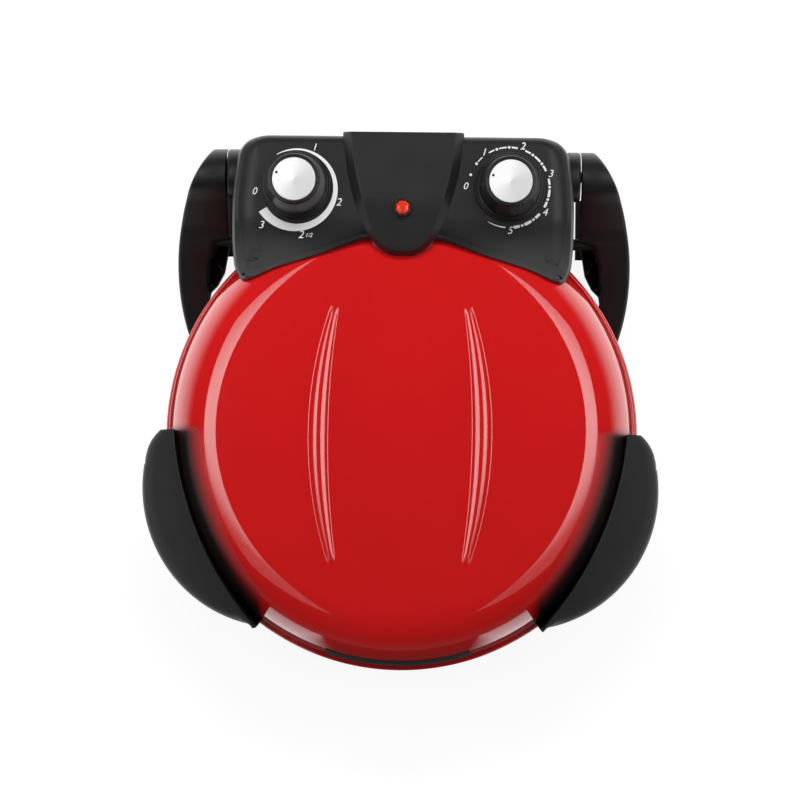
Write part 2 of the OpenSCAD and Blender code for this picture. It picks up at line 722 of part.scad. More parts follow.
module control_housing() {
    color([0.16, 0.16, 0.17]) about_axis() difference() {
        union() {
            difference() {
                housing_form(0);
                housing_form(wall_t);
            }
            for (s = [1, -1]) on_side(s) {
                // Round boss beside the hinge arm
                translate([housing_half_w - wall_t, hinge_y, hinge_z]) rotate([0, 90, 0])
                    cylinder(r = eye_r, h = arm_gap + wall_t - side_gap);
                // Sleeve around the bush, and the screw posts under the panel
                translate([arm_x - 20, hinge_y, hinge_z]) rotate([0, 90, 0]) cylinder(r = 10.5, h = 16);
                for (p = cover_posts) translate([p[0], p[1], housing_z + wall_t + fit_gap])
                    cylinder(d = boss_d, h = panel_z - housing_z - 2 * wall_t);
                translate([housing_screw_xy[0], housing_screw_xy[1], shoulder_z - 6])
                    cylinder(d = boss_d, h = panel_z - shoulder_z - 4);
            }
        }
        lid_solid(fit_gap);
        for (s = [1, -1]) on_side(s) {
            translate([arm_x - 30, hinge_y, hinge_z]) rotate([0, 90, 0])
                cylinder(r = pin_d / 2 + bush_t + step, h = 40);
            for (p = cover_posts) translate([p[0], p[1], housing_z - 5])
                cylinder(d = screw_d + 2 * run_fit, h = 24);
            translate([housing_screw_xy[0], housing_screw_xy[1], shoulder_z - 20])
                cylinder(d = screw_d + 2 * run_fit, h = 23);
            translate([knob_x, knob_y, panel_z - 10]) cylinder(d = spindle_d + 3, h = 20);
        }
        // Seat of the pilot lamp and of the cord inlet
        translate([0, lamp_y, panel_z - 10]) cylinder(r = lamp_r + 1, h = 20);
        translate([cord_x, housing_rear - 10, cord_z]) rotate([-90, 0, 0])
            cylinder(d = cord_bore_d + 5, h = 20);
    }
}

// Outline of the raised shield; w is taken off its sides, and less off its tip
module shield_plan(w) {
    edge = [[43, rear_reach], [41, knob_y + 20], [37.5, knob_y + 1], [32.4, fascia_tip + 30.5],
        [25, fascia_tip + 14.5], [20, fascia_tip + 7.5], [13.5, fascia_tip + 2.8], [6, fascia_tip + 0.4]];
    inner = [for (p = edge) p[1] > fascia_tip + 26 ? p - [w, 0]
        : p + w * [-0.15 - (p[1] - fascia_tip) / 30, 0.3]];
    linear_extrude(60) polygon(concat(inner, [for (p = reversed(inner)) [-p[0], p[1]]]));
}

// Side view of the shield: level behind, falling to its tip; top is its height above the panel
module shield_side(top) {
    polygon([[fascia_tip - 4.5, shoulder_z], [fold_y, panel_z], [housing_rear - 6, panel_z],
        [housing_rear, panel_z - 20], [rear_reach, panel_z - 20], [rear_reach, panel_z + top - 4],
        [rear_reach - 4, panel_z + top], [knob_y - 10, panel_z + top],
        [fascia_tip + 6, panel_z + top - 8.4], [fascia_tip - 4.5, panel_z + top - 12]]);
}

module centre_fascia() {
    color([0.15, 0.15, 0.16]) about_axis() difference() {
        union() {
            intersection() {
                translate([0, 0, panel_z - 30]) shield_plan(0);
                along_x(-60, 60) shield_side(fascia_h - 2.5);
            }
            intersection() {
                translate([0, 0, panel_z - 30]) shield_plan(6);
                along_x(-60, 60) shield_side(fascia_h);
            }
        }
        housing_form(0);
        lid_solid(0.3);
        translate([0, lamp_y, panel_z - 10]) cylinder(r = lamp_r + fit_gap, h = 30);
    }
}

module housing_cover() {
    color([0.16, 0.16, 0.17]) about_axis() difference() {
        intersection() {
            housing_plan(wall_t + fit_gap);
            translate([-rim_r, fold_y - 60, housing_z])
                cube([2 * rim_r, housing_rear - fold_y + 42, wall_t]);
        }
        rotate_extrude() translate([0, housing_z - 5]) square([lid_wall_r + 1, 20]);
        for (s = [1, -1], p = cover_posts) translate([s * p[0], p[1], housing_z - 5])
            cylinder(d = screw_d + 2 * fit_gap, h = 20);
        for (s = [1, -1]) on_side(s) translate([arm_x - 32, hinge_y, hinge_z]) rotate([0, 90, 0])
            cylinder(r = eye_r + 4, h = 60);
    }
}

module cover_screws() {
    color("silver") about_axis() for (s = [1, -1], p = cover_posts)
        translate([s * p[0], p[1], housing_z]) screw(16);
}

// Screws from inside the lid up into the housing
module housing_screws() {
    z = lid_top_at(norm(housing_screw_xy)) - sheet_t - 2.2;
    color("silver") about_axis() for (s = [1, -1])
        translate([s * housing_screw_xy[0], housing_screw_xy[1], z + 0.6]) screw(6.5);
}

// Height of the lid's outside at radius r
function lid_top_at(r) = r < crown_r ? crown_edge_z + crown_rise * (1 - pow(r / crown_r, 2))
    : shoulder_z - shoulder_r + sqrt(pow(shoulder_r, 2) - pow(r - shoulder_c, 2));

module hinge_bush() {
    translate([arm_x - 20, hinge_y, hinge_z]) rotate([0, 90, 0])
        tube(pin_d / 2 + bush_t, pin_d / 2 + run_fit, 20 - side_gap);
}

module hinge_bush_left() {
    color("goldenrod") about_axis() on_side(-1) hinge_bush();
}

module hinge_bush_right() {
    color("goldenrod") about_axis() on_side(1) hinge_bush();
}

// Faceted lens with its collar on the shield
module pilot_lens() {
    z = panel_z + fascia_h;
    color("orangered") about_axis() translate([0, lamp_y, 0]) {
        translate([0, 0, z - 6]) cylinder(r = lamp_r, h = 6);
        translate([0, 0, z - step]) difference() {
            cylinder(r1 = lamp_r + 0.8, r2 = lamp_r, h = 1.4);
            translate([0, 0, 0.5]) cylinder(r1 = lamp_r - 1.4, r2 = lamp_r - 1.1, h = 2);
        }
        translate([0, 0, z + 0.4]) cylinder(r1 = lamp_r - 1.5, r2 = 2.2, h = 1.4);
    }
}

module pilot_lamp() {
    color("white") about_axis() translate([0, lamp_y, panel_z + fascia_h - 6 - 0.3]) mirror([0, 0, 1]) {
        cylinder(r = lamp_r - 0.6, h = 14);
        translate([0, 0, 13]) cylinder(r = 2.6, h = 4);
    }
}

// Capillary thermostat hung under the panel, and its sensing bulb on the reflector
module thermostat() {
    top = panel_z - wall_t - 0.3;
    color("lightgray") about_axis() translate([-knob_x, knob_y, 0]) difference() {
        union() {
            translate([-17, -13, top - 20]) cube([34, 26, 20]);
            translate([0, 0, top - 26]) cylinder(r = 9, h = 8);
            for (x = [-10, 10]) translate([x - 3, 13 - step, top - 15]) cube([6, 6, 0.9]);
        }
        translate([0, 0, top - 12]) cylinder(d = spindle_d + 2 * run_fit, h = 40);
    }
}

module thermostat_bulb() {
    bend = [-element_pitch, bulb_y + 78, bulb_z];
    color("darkorange") about_axis() {
        translate([-element_pitch - 3, bulb_y, bulb_z]) rotate([0, 90, 0]) cylinder(r = 2.9, h = 73);
        rod([-element_pitch, bulb_y, bulb_z], bend, 1);
        translate(bend) sphere(r = 1.3, $fn = 24);
        rod(bend, [-knob_x + 17.4, knob_y, panel_z - wall_t - 12], 1);
    }
}

module timer() {
    top = panel_z - wall_t - 0.3;
    color("lightgray") about_axis() translate([knob_x, knob_y, 0]) difference() {
        union() {
            translate([0, 0, top - 18]) cylinder(r = 18, h = 18);
            translate([-3, 14, top - 14]) cube([6, 10, 0.9]);
            translate([0, 0, top - 24]) cylinder(r = 2.5, h = 8);
        }
        translate([0, 0, top - 12]) cylinder(d = spindle_d + 2 * run_fit, h = 40);
    }
}

// Bell cup under the timer, hung on its post
module timer_bell() {
    z = panel_z - wall_t - 0.3 - 18 - fit_gap;
    color("gold") about_axis() translate([knob_x, knob_y, z - 7]) difference() {
        cylinder(r = 14, h = 7);
        translate([0, 0, -1]) cylinder(r = 13, h = 7);
        cylinder(r = 2.5 + fit_gap, h = 20);
    }
}

module terminal_block() {
    color("ivory") about_axis() difference() {
        translate([-24, housing_rear - 24, housing_z + wall_t]) cube([48, 14, 16]);
        for (x = [-15, -5, 5, 15]) {
            translate([x, housing_rear - 17, housing_z + wall_t + 8]) cylinder(d = 5, h = 20);
            translate([x, housing_rear - 30, housing_z + wall_t + 5]) rotate([-90, 0, 0])
                cylinder(d = 4, h = 40);
        }
    }
}

// Cord inlet in the housing's rear wall
module cord_gland() {
    color("black") about_axis() translate([cord_x, 0, cord_z]) rotate([-90, 0, 0]) difference() {
        union() {
            translate([0, 0, housing_rear - 9]) cylinder(d = cord_bore_d + 5 - 2 * fit_gap, h = 9 + step);
            translate([0, 0, housing_rear]) cylinder(d = cord_bore_d + 9, h = fascia_proud);
            translate([0, 0, housing_rear - 9]) cylinder(d = cord_bore_d + 9, h = 9 - wall_t - fit_gap);
        }
        translate([0, 0, housing_rear - 20]) cylinder(d = cord_bore_d, h = 40);
    }
}

/* ---- Handles and trim ---- */

// Cone whose top edge follows the ridge and falls outwards, drawn in by i
module ridge_cone(i) {
    translate([ridge_c[0], ridge_c[1], 0]) rotate_extrude($fn = 180) polygon([
        [ridge_r + i, lid_rim_z - 10], [ridge_r + i, ridge_z - i * 1.2 - i * handle_slope],
        [ridge_r + 40, ridge_z - i * 1.2 - 40 * handle_slope], [ridge_r + 40, lid_rim_z - 10]]);
}

module handle_form(i) {
    intersection() {
        ridge_cone(i);
        translate([handle_c[0], handle_c[1], 0]) cylinder(r = handle_r - i, h = ridge_z + 20, $fn = 180);
        translate([30, -2 * rim_r, lid_rim_z + handle_low_h - (i > 0 ? 5 : 0)])
            cube([2 * rim_r, 2 * rim_r + 10, 100]);
        // Rounded rear corner
        union() {
            translate([handle_end_c[0], handle_end_c[1], 0])
                cylinder(r = handle_end_r - i, h = ridge_z + 20);
            translate([30, handle_end_c[1] - 2 * rim_r, 0]) cube(2 * rim_r);
        }
    }
}

module lid_handle() {
    difference() {
        union() {
            difference() {
                handle_form(0);
                handle_form(handle_t);
            }
            ring_sector(lid_wall_r - 4, rim_r + 1.6, lid_rim_z + handle_low_h - 3, lid_rim_z + 36,
                handle_last_a, handle_first_a);
            for (a = handle_screw_angles) intersection() {
                outwards(a, lid_wall_r - 4, handle_screw_z) cylinder(d = boss_d, h = 40);
                handle_form(0);
            }
        }
        lid_solid(fit_gap);
        rotate([0, 0, handle_first_a]) translate([shoulder_c, 0, 0]) cube([rim_r, rim_r, 2 * rim_r]);
        for (a = handle_screw_angles)
            outwards(a, lid_wall_r - 10, handle_screw_z) cylinder(d = screw_d + 2 * run_fit, h = 22);
    }
}

module lid_handle_left() {
    color([0.16, 0.16, 0.17]) about_axis() on_side(-1) lid_handle();
}

module lid_handle_right() {
    color([0.16, 0.16, 0.17]) about_axis() on_side(1) lid_handle();
}

// Steel strip behind the lid's wall that spreads the screws' load
module handle_bracket() {
    r = lid_wall_r - sheet_t - fit_gap;
    difference() {
        ring_sector(r - 1.5, r, lid_rim_z + 8, handle_screw_z + 7, handle_screw_angles[1] - 5,
            handle_screw_angles[0] + 5);
        for (a = handle_screw_angles)
            outwards(a, r - 10, handle_screw_z) cylinder(d = screw_d + 2 * fit_gap, h = 20);
    }
}

module handle_bracket_left() {
    color("silver") about_axis() on_side(-1) handle_bracket();
}

module handle_bracket_right() {
    color("silver") about_axis() on_side(1) handle_bracket();
}

module handle_screws() {
    r = lid_wall_r - sheet_t - fit_gap - 1.5;
    color("gray") about_axis() for (s = [1, -1]) on_side(s) for (a = handle_screw_angles)
        outwards(a, r - 0.1, handle_screw_z) screw(13);
}

// Plain strip on the front of the lid's shoulder
module front_trim_strip() {
    color("dimgray") about_axis() rotate([0, 0, 270 - strip_half_a])
        rotate_extrude(angle = 2 * strip_half_a)
            polygon(concat(strip_arc(0.9), reversed(strip_arc(0.06))));
}

// Arc along the shoulder at distance g outside it
function strip_arc(g) = arc(shoulder_c, shoulder_z - shoulder_r, shoulder_r + g, 12, 48, 6);

/* ---- Knobs ---- */

module knob(side) {
    color([0.12, 0.12, 0.13]) about_axis() translate([side * knob_x, knob_y, panel_z + 0.5]) difference() {
        rotate_extrude() polygon([[0, 0], [knob_d / 2, 0], [knob_d / 2, 3], [knob_d / 2 - 1.2, 4],
            [knob_d / 2 - 2.4, 4.2], [cap_d / 2 + 1.4, knob_h - 3], [cap_d / 2 + 0.9, knob_h - 0.5],
            [cap_d / 2 + 0.2, knob_h - 0.5], [cap_d / 2 + 0.2, knob_h - 2], [0, knob_h - 2]]);
        translate([0, 0, -1]) cylinder(d = spindle_d + 2 * step, h = knob_h - 8);
        translate([0, 0, -1]) tube(knob_d / 2 - 5, spindle_d / 2 + 3, 9);
    }
}

module knob_disc(side) {
    color("silver") about_axis() translate([side * knob_x, knob_y, panel_z + 0.5 + knob_h - 2])
        difference() {
            cylinder(d = cap_d, h = 2);
            // Pointer dot near the edge
            rotate([0, 0, 180 - pointer_a[side > 0 ? 1 : 0]]) translate([cap_d / 2 - 2.2, 0, 1.4])
                cylinder(d = 1.5, h = 2);
        }
}

module spindle(side) {
    top = panel_z - wall_t - 0.3;
    color("gray") about_axis() translate([side * knob_x, knob_y, top - 11.5])
        cylinder(d = spindle_d, h = 11.5 + wall_t + 0.3 + 0.5 + knob_h - 9.4);
}

module temp_knob() {
    knob(-1);
}

module temp_knob_cap() {
    knob_disc(-1);
}

module thermostat_spindle() {
    spindle(-1);
}

module timer_knob() {
    knob(1);
}

module timer_knob_cap() {
    knob_disc(1);
}

module timer_spindle() {
    spindle(1);
}

base_shell();
base_reflector();
baking_stone();
stone_clips();
lower_element();
lower_element_brackets();
lower_element_terminals();
terminal_cover();
hinge_arm_left();
hinge_arm_right();
arm_screws();
hinge_pin_left();
hinge_pin_right();
pin_circlips();
front_feet();
foot_pads();
foot_screws();
lid_shell();
lid_reflector();
lid_insulation();
upper_element();
upper_element_brackets();
upper_element_terminals();
control_housing();
centre_fascia();
housing_cover();
cover_screws();
housing_screws();
hinge_bush_left();
hinge_bush_right();
pilot_lens();
pilot_lamp();
thermostat();
thermostat_bulb();
timer();
timer_bell();
terminal_block();
lid_handle_left();
lid_handle_right();
handle_bracket_left();
handle_bracket_right();
handle_screws();
front_trim_strip();
cord_gland();
temp_knob();
temp_knob_cap();
thermostat_spindle();
timer_knob();
timer_knob_cap();
timer_spindle();
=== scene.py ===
"""Electric pizza maker: a round oven with a domed enamel lid, a control housing at the
back, two hinge arms and two lid handles.

Sizes are millimetres about the bowl's axis, +Z up and the front towards -Y. Each piece is
moved into the frame, in metres, when its mesh is made.
"""
import logging
import math
from dataclasses import dataclass
from enum import Enum
from typing import Callable, Sequence, Union

import bmesh
import bpy
import numpy as np
from mathutils import Matrix, Vector


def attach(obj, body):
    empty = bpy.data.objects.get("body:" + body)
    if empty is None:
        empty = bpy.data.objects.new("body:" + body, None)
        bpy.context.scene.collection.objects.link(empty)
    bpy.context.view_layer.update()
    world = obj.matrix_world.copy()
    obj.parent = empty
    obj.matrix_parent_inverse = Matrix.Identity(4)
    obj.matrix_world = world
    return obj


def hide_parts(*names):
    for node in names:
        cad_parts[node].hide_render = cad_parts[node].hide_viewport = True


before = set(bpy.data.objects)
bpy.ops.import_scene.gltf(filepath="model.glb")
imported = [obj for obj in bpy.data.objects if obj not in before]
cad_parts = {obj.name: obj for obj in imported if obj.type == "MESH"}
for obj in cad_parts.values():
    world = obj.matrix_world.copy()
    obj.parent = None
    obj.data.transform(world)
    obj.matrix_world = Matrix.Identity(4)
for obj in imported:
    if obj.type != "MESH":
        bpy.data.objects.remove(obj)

LOG = logging.getLogger("pizza_maker")
MILLIMETRE = 0.001
AXIS_Y = -19.75

# Heights that several pieces share
BOWL_FLOOR_Z = 22.0
BOWL_RIM_Z = 89.0
LID_RIM_Z = 89.5
HOUSING_Z = 100.0
HINGE_Z = 118.0
SHOULDER_Z = 146.0
PANEL_Z = 158.0

RIM_R = 172.5
LID_WALL_R = 168.0
SHOULDER_R = 38.0
SHOULDER_C = (LID_WALL_R - SHOULDER_R, SHOULDER_Z - SHOULDER_R)
CROWN_RISE = 3.0
CROWN_TILT = math.atan(2 * CROWN_RISE / (LID_WALL_R - SHOULDER_R))
CROWN_R = LID_WALL_R - SHOULDER_R * (1 - math.sin(CROWN_TILT))
SHEET = 1.2
SEATING_GAP = 0.3

# Middle of the circle that a handle's ridge follows in plan, and the knobs' distance from the middle
RIDGE_C = (-77.7, 18.9)
KNOB_X = 76.2

Colour = tuple[float, float, float]
Curve = Callable[[np.ndarray, np.ndarray], np.ndarray]


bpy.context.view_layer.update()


class Side(Enum):
    """The two mirrored sides of the oven, seen from above with the front below."""

    LEFT = -1
    RIGHT = 1


# ---- Shader maths ----


class Value:
    """A number that changes over a surface; arithmetic on it adds Math nodes."""

    def __init__(self, tree: "Tree", socket: bpy.types.NodeSocket) -> None:
        """Wraps an output socket of a tree."""
        self.tree = tree
        self.socket = socket

    def math(self, operation: str, *terms: "Number") -> "Value":
        """Adds a Math node.

        Args:
            operation: Name of the Math node's operation.
            terms: Its inputs, in order.

        Returns:
            The node's output.
        """
        return self.tree.value("ShaderNodeMath", {"operation": operation}, terms)

    def __add__(self, other: "Number") -> "Value":
        """Adds another value."""
        return self.math("ADD", self, other)

    def __sub__(self, other: "Number") -> "Value":
        """Takes another value off."""
        return self.math("SUBTRACT", self, other)

    def __rsub__(self, other: "Number") -> "Value":
        """Takes this value off another."""
        return self.math("SUBTRACT", other, self)

    def __mul__(self, other: "Number") -> "Value":
        """Multiplies by another value."""
        return self.math("MULTIPLY", self, other)

    def __pow__(self, other: "Number") -> "Value":
        """Raises to a power."""
        return self.math("POWER", self, other)

    __radd__ = __add__
    __rmul__ = __mul__

    def ramp(self, low: float, high: float) -> "Value":
        """Maps low to 0 and high to 1 along a smooth step.

        Args:
            low: Where the step starts; it may be above high.
            high: Where the step ends.

        Returns:
            The stepped value.
        """
        settings = {"interpolation_type": "SMOOTHSTEP"}
        return self.tree.value("ShaderNodeMapRange", settings, (self, low, high, 0.0, 1.0))


Number = Union[Value, float]


class Tree:
    """The node tree of one material, or of the room around the oven."""

    def __init__(self, owner: Union[bpy.types.Material, bpy.types.World]) -> None:
        """Clears the owner's nodes and adds a shader and an output."""
        owner.use_nodes = True
        self.tree = owner.node_tree
        self.tree.nodes.clear()
        room = isinstance(owner, bpy.types.World)
        self.shader = self.node("ShaderNodeBackground" if room else "ShaderNodeBsdfPrincipled", {}, {})
        self.output = self.node("ShaderNodeOutputWorld" if room else "ShaderNodeOutputMaterial", {}, {})
        self.feed(self.output.inputs["Surface"], self.shader.outputs[0])
        self.place = self.node("ShaderNodeTexCoord", {}, {}).outputs["Generated" if room else "Object"]

    def node(self, kind: str, settings: dict, inputs: dict) -> bpy.types.Node:
        """Adds a node.

        Args:
            kind: The node's type.
            settings: Its own properties, set before its sockets.
            inputs: Values or links by socket name or number.

        Returns:
            The node.
        """
        node = self.tree.nodes.new(kind)
        for name, setting in settings.items():
            setattr(node, name, setting)
        for name, given in inputs.items():
            self.feed(node.inputs[name], given)
        return node

    def feed(self, socket: bpy.types.NodeSocket, given: object) -> None:
        """Links or sets one input socket."""
        source = given.socket if isinstance(given, Value) else given
        if isinstance(source, bpy.types.NodeSocket):
            self.tree.links.new(source, socket)
        else:
            socket.default_value = source

    def value(self, kind: str, settings: dict, terms: Sequence[object]) -> Value:
        """Adds a node with its inputs in order and wraps its first output."""
        return Value(self, self.node(kind, settings, dict(enumerate(terms))).outputs[0])

    def noise(self, per_metre: float, detail: float = 2.0, stretch: Colour = (1, 1, 1)) -> Value:
        """Adds noise on the place in the object.

        Args:
            per_metre: Number of blobs in a metre.
            detail: Octaves.
            stretch: Scale along each axis.

        Returns:
            The noise, about 0.5.
        """
        vector = self.place
        if stretch != (1, 1, 1):
            vector = self.node("ShaderNodeMapping", {}, {"Vector": vector, "Scale": stretch}).outputs[0]
        inputs = {"Vector": vector, "Scale": per_metre, "Detail": detail}
        return Value(self, self.node("ShaderNodeTexNoise", {}, inputs).outputs[0])

    def cells(self, per_metre: float) -> Value:
        """Adds the distance to the nearest of many scattered points."""
        inputs = {"Vector": self.place, "Scale": per_metre}
        return Value(self, self.node("ShaderNodeTexVoronoi", {}, inputs).outputs[0])

    def xyz(self, centre: Colour = (0.0, AXIS_Y, 0.0)) -> tuple[Value, Value, Value]:
        """Gives the place in the object in millimetres, counted from a centre."""
        settings = {"operation": "MULTIPLY_ADD"}
        scale = 1 / MILLIMETRE
        inputs = {0: self.place, 1: (scale,) * 3, 2: tuple(-part for part in centre)}
        moved = self.node("ShaderNodeVectorMath", settings, inputs)
        parts = self.node("ShaderNodeSeparateXYZ", {}, {0: moved.outputs[0]}).outputs
        return tuple(Value(self, parts[axis]) for axis in range(3))

    def radius(self, centre: Colour = (0.0, AXIS_Y, 0.0)) -> Value:
        """Gives the distance from an upright line through a centre, in millimetres."""
        x, y, _ = self.xyz(centre)
        return (x * x + y * y) ** 0.5

    def mix(self, factor: Number, first: object, second: object) -> bpy.types.NodeSocket:
        """Blends two colours by a factor."""
        inputs = {"Factor": factor, 6: opaque(first), 7: opaque(second)}
        return self.node("ShaderNodeMix", {"data_type": "RGBA"}, inputs).outputs[2]

    def bump(self, height: Value, depth: float) -> None:
        """Feeds the shader's normal from a height; depth is in millimetres."""
        inputs = {"Height": height, "Distance": depth * MILLIMETRE, "Strength": 1.0}
        self.feed(self.shader.inputs["Normal"], self.node("ShaderNodeBump", {}, inputs).outputs[0])


def opaque(colour: object) -> object:
    """Adds a full alpha to a plain colour and leaves a link alone."""
    return (*colour, 1.0) if isinstance(colour, tuple) else colour


# ---- Finishes ----


@dataclass(frozen=True)
class Finish:
    """A surface finish; a subclass adds what changes over the surface."""

    name: str
    colour: Colour
    roughness: float = 0.5
    metallic: float = 0.0
    coat: float = 0.0

    def material(self) -> bpy.types.Material:
        """Makes the material once and gives it after that."""
        title = f"finish_{self.name}"
        made = bpy.data.materials.get(title)
        if made is None:
            made = bpy.data.materials.new(title)
            tree = Tree(made)
            start = {
                "Base Color": (*self.colour, 1.0),
                "Roughness": self.roughness,
                "Metallic": self.metallic,
                "Coat Weight": self.coat,
            }
            for socket, setting in start.items():
                tree.shader.inputs[socket].default_value = setting
            self.paint(tree)
        return made

    def paint(self, tree: Tree) -> None:
        """Adds the nodes of this finish."""

    def shade(self, tree: Tree, factor: Number, other: Colour) -> None:
        """Blends the base colour towards another by a factor."""
        tree.feed(tree.shader.inputs["Base Color"], tree.mix(factor, self.colour, other))

    def rough(self, tree: Tree, roughness: Number) -> None:
        """Feeds the shader's roughness."""
        tree.feed(tree.shader.inputs["Roughness"], roughness)


@dataclass(frozen=True)
class Enamel(Finish):
    """Glossy fired enamel: a slow waviness and tiny pinholes.

    The dark shade beside both handles is painted, to match the photograph.
    """

    shade_start: float = 217.0
    shade_end: float = 234.0
    dull_end: float = 227.0

    def paint(self, tree: Tree) -> None:
        """Adds the tone, the shade, the gloss and the waves."""
        tree.shader.inputs["IOR"].default_value = 1.6
        tree.shader.inputs["Coat Roughness"].default_value = 0.03
        tone = tree.noise(14.0, 3.0).ramp(0.3, 0.75) * 0.25
        toned = tree.mix(tone, self.colour, tuple(part * 0.85 for part in self.colour))
        near = self.beside_handle(tree, self.shade_start, self.shade_end)
        tree.feed(tree.shader.inputs["Base Color"], tree.mix(near, toned, (0.006, 0.002, 0.002)))
        dull = self.beside_handle(tree, self.shade_start, self.dull_end)
        self.rough(tree, tree.noise(60.0, 3.0) * 0.03 + (self.roughness - 0.015) + dull * 0.5)
        tree.feed(tree.shader.inputs["Coat Weight"], (1.0 - dull) * self.coat)
        waves = tree.noise(60.0, 1.0) * 0.03 + tree.cells(900.0).ramp(0.05, 0.0) * -0.01
        tree.bump(waves, 0.4)

    @staticmethod
    def beside_handle(tree: Tree, start: float, end: float) -> Value:
        """Gives 1 at the foot of a handle and 0 a little way from it.

        Args:
            tree: The nodes to add to.
            start: Where it rises from 0, counted from the middle of the handle's ridge circle.
            end: Where it reaches 1.

        Returns:
            The factor.
        """
        x, y, z = tree.xyz()
        aside = x.math("ABSOLUTE", x)
        across, behind = aside - RIDGE_C[0], y - RIDGE_C[1]
        ridge = (across * across + behind * behind) ** 0.5
        beside = y.ramp(5.0, -4.0) * aside.ramp(95.0, 102.0)
        return ridge.ramp(start, end) * beside * z.ramp(96.0, 112.0)


@dataclass(frozen=True)
class MouldedPlastic(Finish):
    """Moulded plastic with a fine spark-eroded grain."""

    grain: float = 0.02

    def paint(self, tree: Tree) -> None:
        """Adds the grain, and the sheen's change over the surface."""
        tree.shader.inputs["IOR"].default_value = 1.42
        patches = tree.noise(45.0, 4.0)
        self.shade(tree, patches.ramp(0.35, 0.8) * 0.5, tuple(part * 1.35 for part in self.colour))
        fine = tree.noise(1900.0, 2.0)
        self.rough(tree, patches * 0.1 + fine * 0.08 + (self.roughness - 0.09))
        tree.bump(fine + tree.cells(1400.0) * 0.6, self.grain)


@dataclass(frozen=True)
class HousingPlastic(MouldedPlastic):
    """Moulded plastic with a painted sheen: its base colour is paler on the two lobes in front."""

    def shade(self, tree: Tree, factor: Number, other: Colour) -> None:
        """Blends in the painted sheen on the two front lobes after the patches."""
        x, y, _ = tree.xyz()
        # painted sheen: the base colour turns 4.2 times paler on the two front lobes
        lobes = y.ramp(152.0, 116.0) * x.math("ABSOLUTE", x).ramp(34.0, 84.0)
        patched = tree.mix(factor, self.colour, other)
        painted_sheen = tuple(part * 4.2 for part in self.colour)
        tree.feed(tree.shader.inputs["Base Color"], tree.mix(lobes, patched, painted_sheen))


@dataclass(frozen=True)
class BrushedDisc(Finish):
    """Spun aluminium: rings about its own centre, and a painted highlight in fans about the centre."""

    centre_x: float = 0.0
    centre_y: float = 0.0

    def paint(self, tree: Tree) -> None:
        """Adds the rings and the painted fan highlight."""
        centre = (self.centre_x, self.centre_y + AXIS_Y, 0.0)
        x, y, _ = tree.xyz(centre)
        radius = (x * x + y * y) ** 0.5
        angle = x.math("ARCTAN2", y, x)
        # painted highlight: the base colour pales towards white in fans about the disc's centre
        painted_fan = (angle + 0.6).math("COSINE", angle + 0.6).ramp(1.0, -1.0)
        self.shade(tree, painted_fan, (0.95, 0.95, 0.95))
        rings = (radius * 16.0).math("SINE", radius * 16.0) * 0.5 + tree.noise(2600.0, 2.0)
        self.rough(tree, rings * 0.06 + self.roughness)
        tree.bump(rings, 0.006)


@dataclass(frozen=True)
class PressedSheet(Finish):
    """Bright rolled sheet, with fine scratches and a heat tint near its rim."""

    tint: Colour = (0.5, 0.4, 0.26)

    def paint(self, tree: Tree) -> None:
        """Adds the scratches and the tint."""
        blotch = tree.noise(22.0, 5.0)
        rim = tree.radius().ramp(120.0, 165.0)
        self.shade(tree, (blotch.ramp(0.4, 0.85) * 0.4 + rim * 0.2), self.tint)
        scratches = tree.noise(700.0, 2.0, (1.0, 0.06, 1.0))
        self.rough(tree, scratches * 0.16 + blotch * 0.1 + (self.roughness - 0.12))
        tree.bump(scratches, 0.01)


@dataclass(frozen=True)
class PlatedSteel(Finish):
    """Zinc plated steel with a crystalline bloom."""

    def paint(self, tree: Tree) -> None:
        """Adds the crystals."""
        crystals = tree.cells(260.0)
        self.shade(tree, crystals * 0.8, tuple(part * 0.7 for part in self.colour))
        self.rough(tree, crystals * 0.2 + self.roughness)
        tree.bump(tree.noise(1500.0, 3.0), 0.01)


@dataclass(frozen=True)
class OxidisedTube(Finish):
    """Element sheath, baked to a dull grey brown with bluish patches."""

    def paint(self, tree: Tree) -> None:
        """Adds the patches and the scale."""
        patches = tree.noise(55.0, 5.0)
        self.shade(tree, patches.ramp(0.4, 0.65), (0.09, 0.075, 0.07))
        self.rough(tree, patches * 0.3 + (self.roughness - 0.1))
        tree.bump(tree.noise(1600.0, 4.0), 0.03)


@dataclass(frozen=True)
class BakingStone(Finish):
    """Fired cordierite: sandy, with pores and darker grit."""

    def paint(self, tree: Tree) -> None:
        """Adds the grit, the pores and the cast of the firing."""
        grit = tree.cells(420.0).ramp(0.22, 0.1)
        cast = tree.noise(12.0, 5.0).ramp(0.35, 0.75)
        base = tree.mix(cast * 0.6, self.colour, (0.56, 0.42, 0.28))
        tree.feed(tree.shader.inputs["Base Color"], tree.mix(grit * 0.5, base, (0.3, 0.22, 0.16)))
        pores = tree.cells(900.0).ramp(0.05, 0.2)
        tree.bump(pores + tree.noise(1200.0, 4.0) * 0.7, 0.12)


@dataclass(frozen=True)
class Grainy(Finish):
    """Plain finish with a tone, a bump and a sheen that wander: ceramic, rubber, fibre, print."""

    per_metre: float = 900.0
    depth: float = 0.03
    spread: float = 0.8

    def paint(self, tree: Tree) -> None:
        """Adds the grain."""
        grain = tree.noise(self.per_metre, 3.0)
        slow = tree.noise(30.0, 3.0)
        factor = slow.ramp(0.3, 0.8) * 0.5 + grain * 0.3
        self.shade(tree, factor, tuple(part * self.spread for part in self.colour))
        self.rough(tree, grain * 0.12 + (self.roughness - 0.06))
        tree.bump(grain, self.depth)


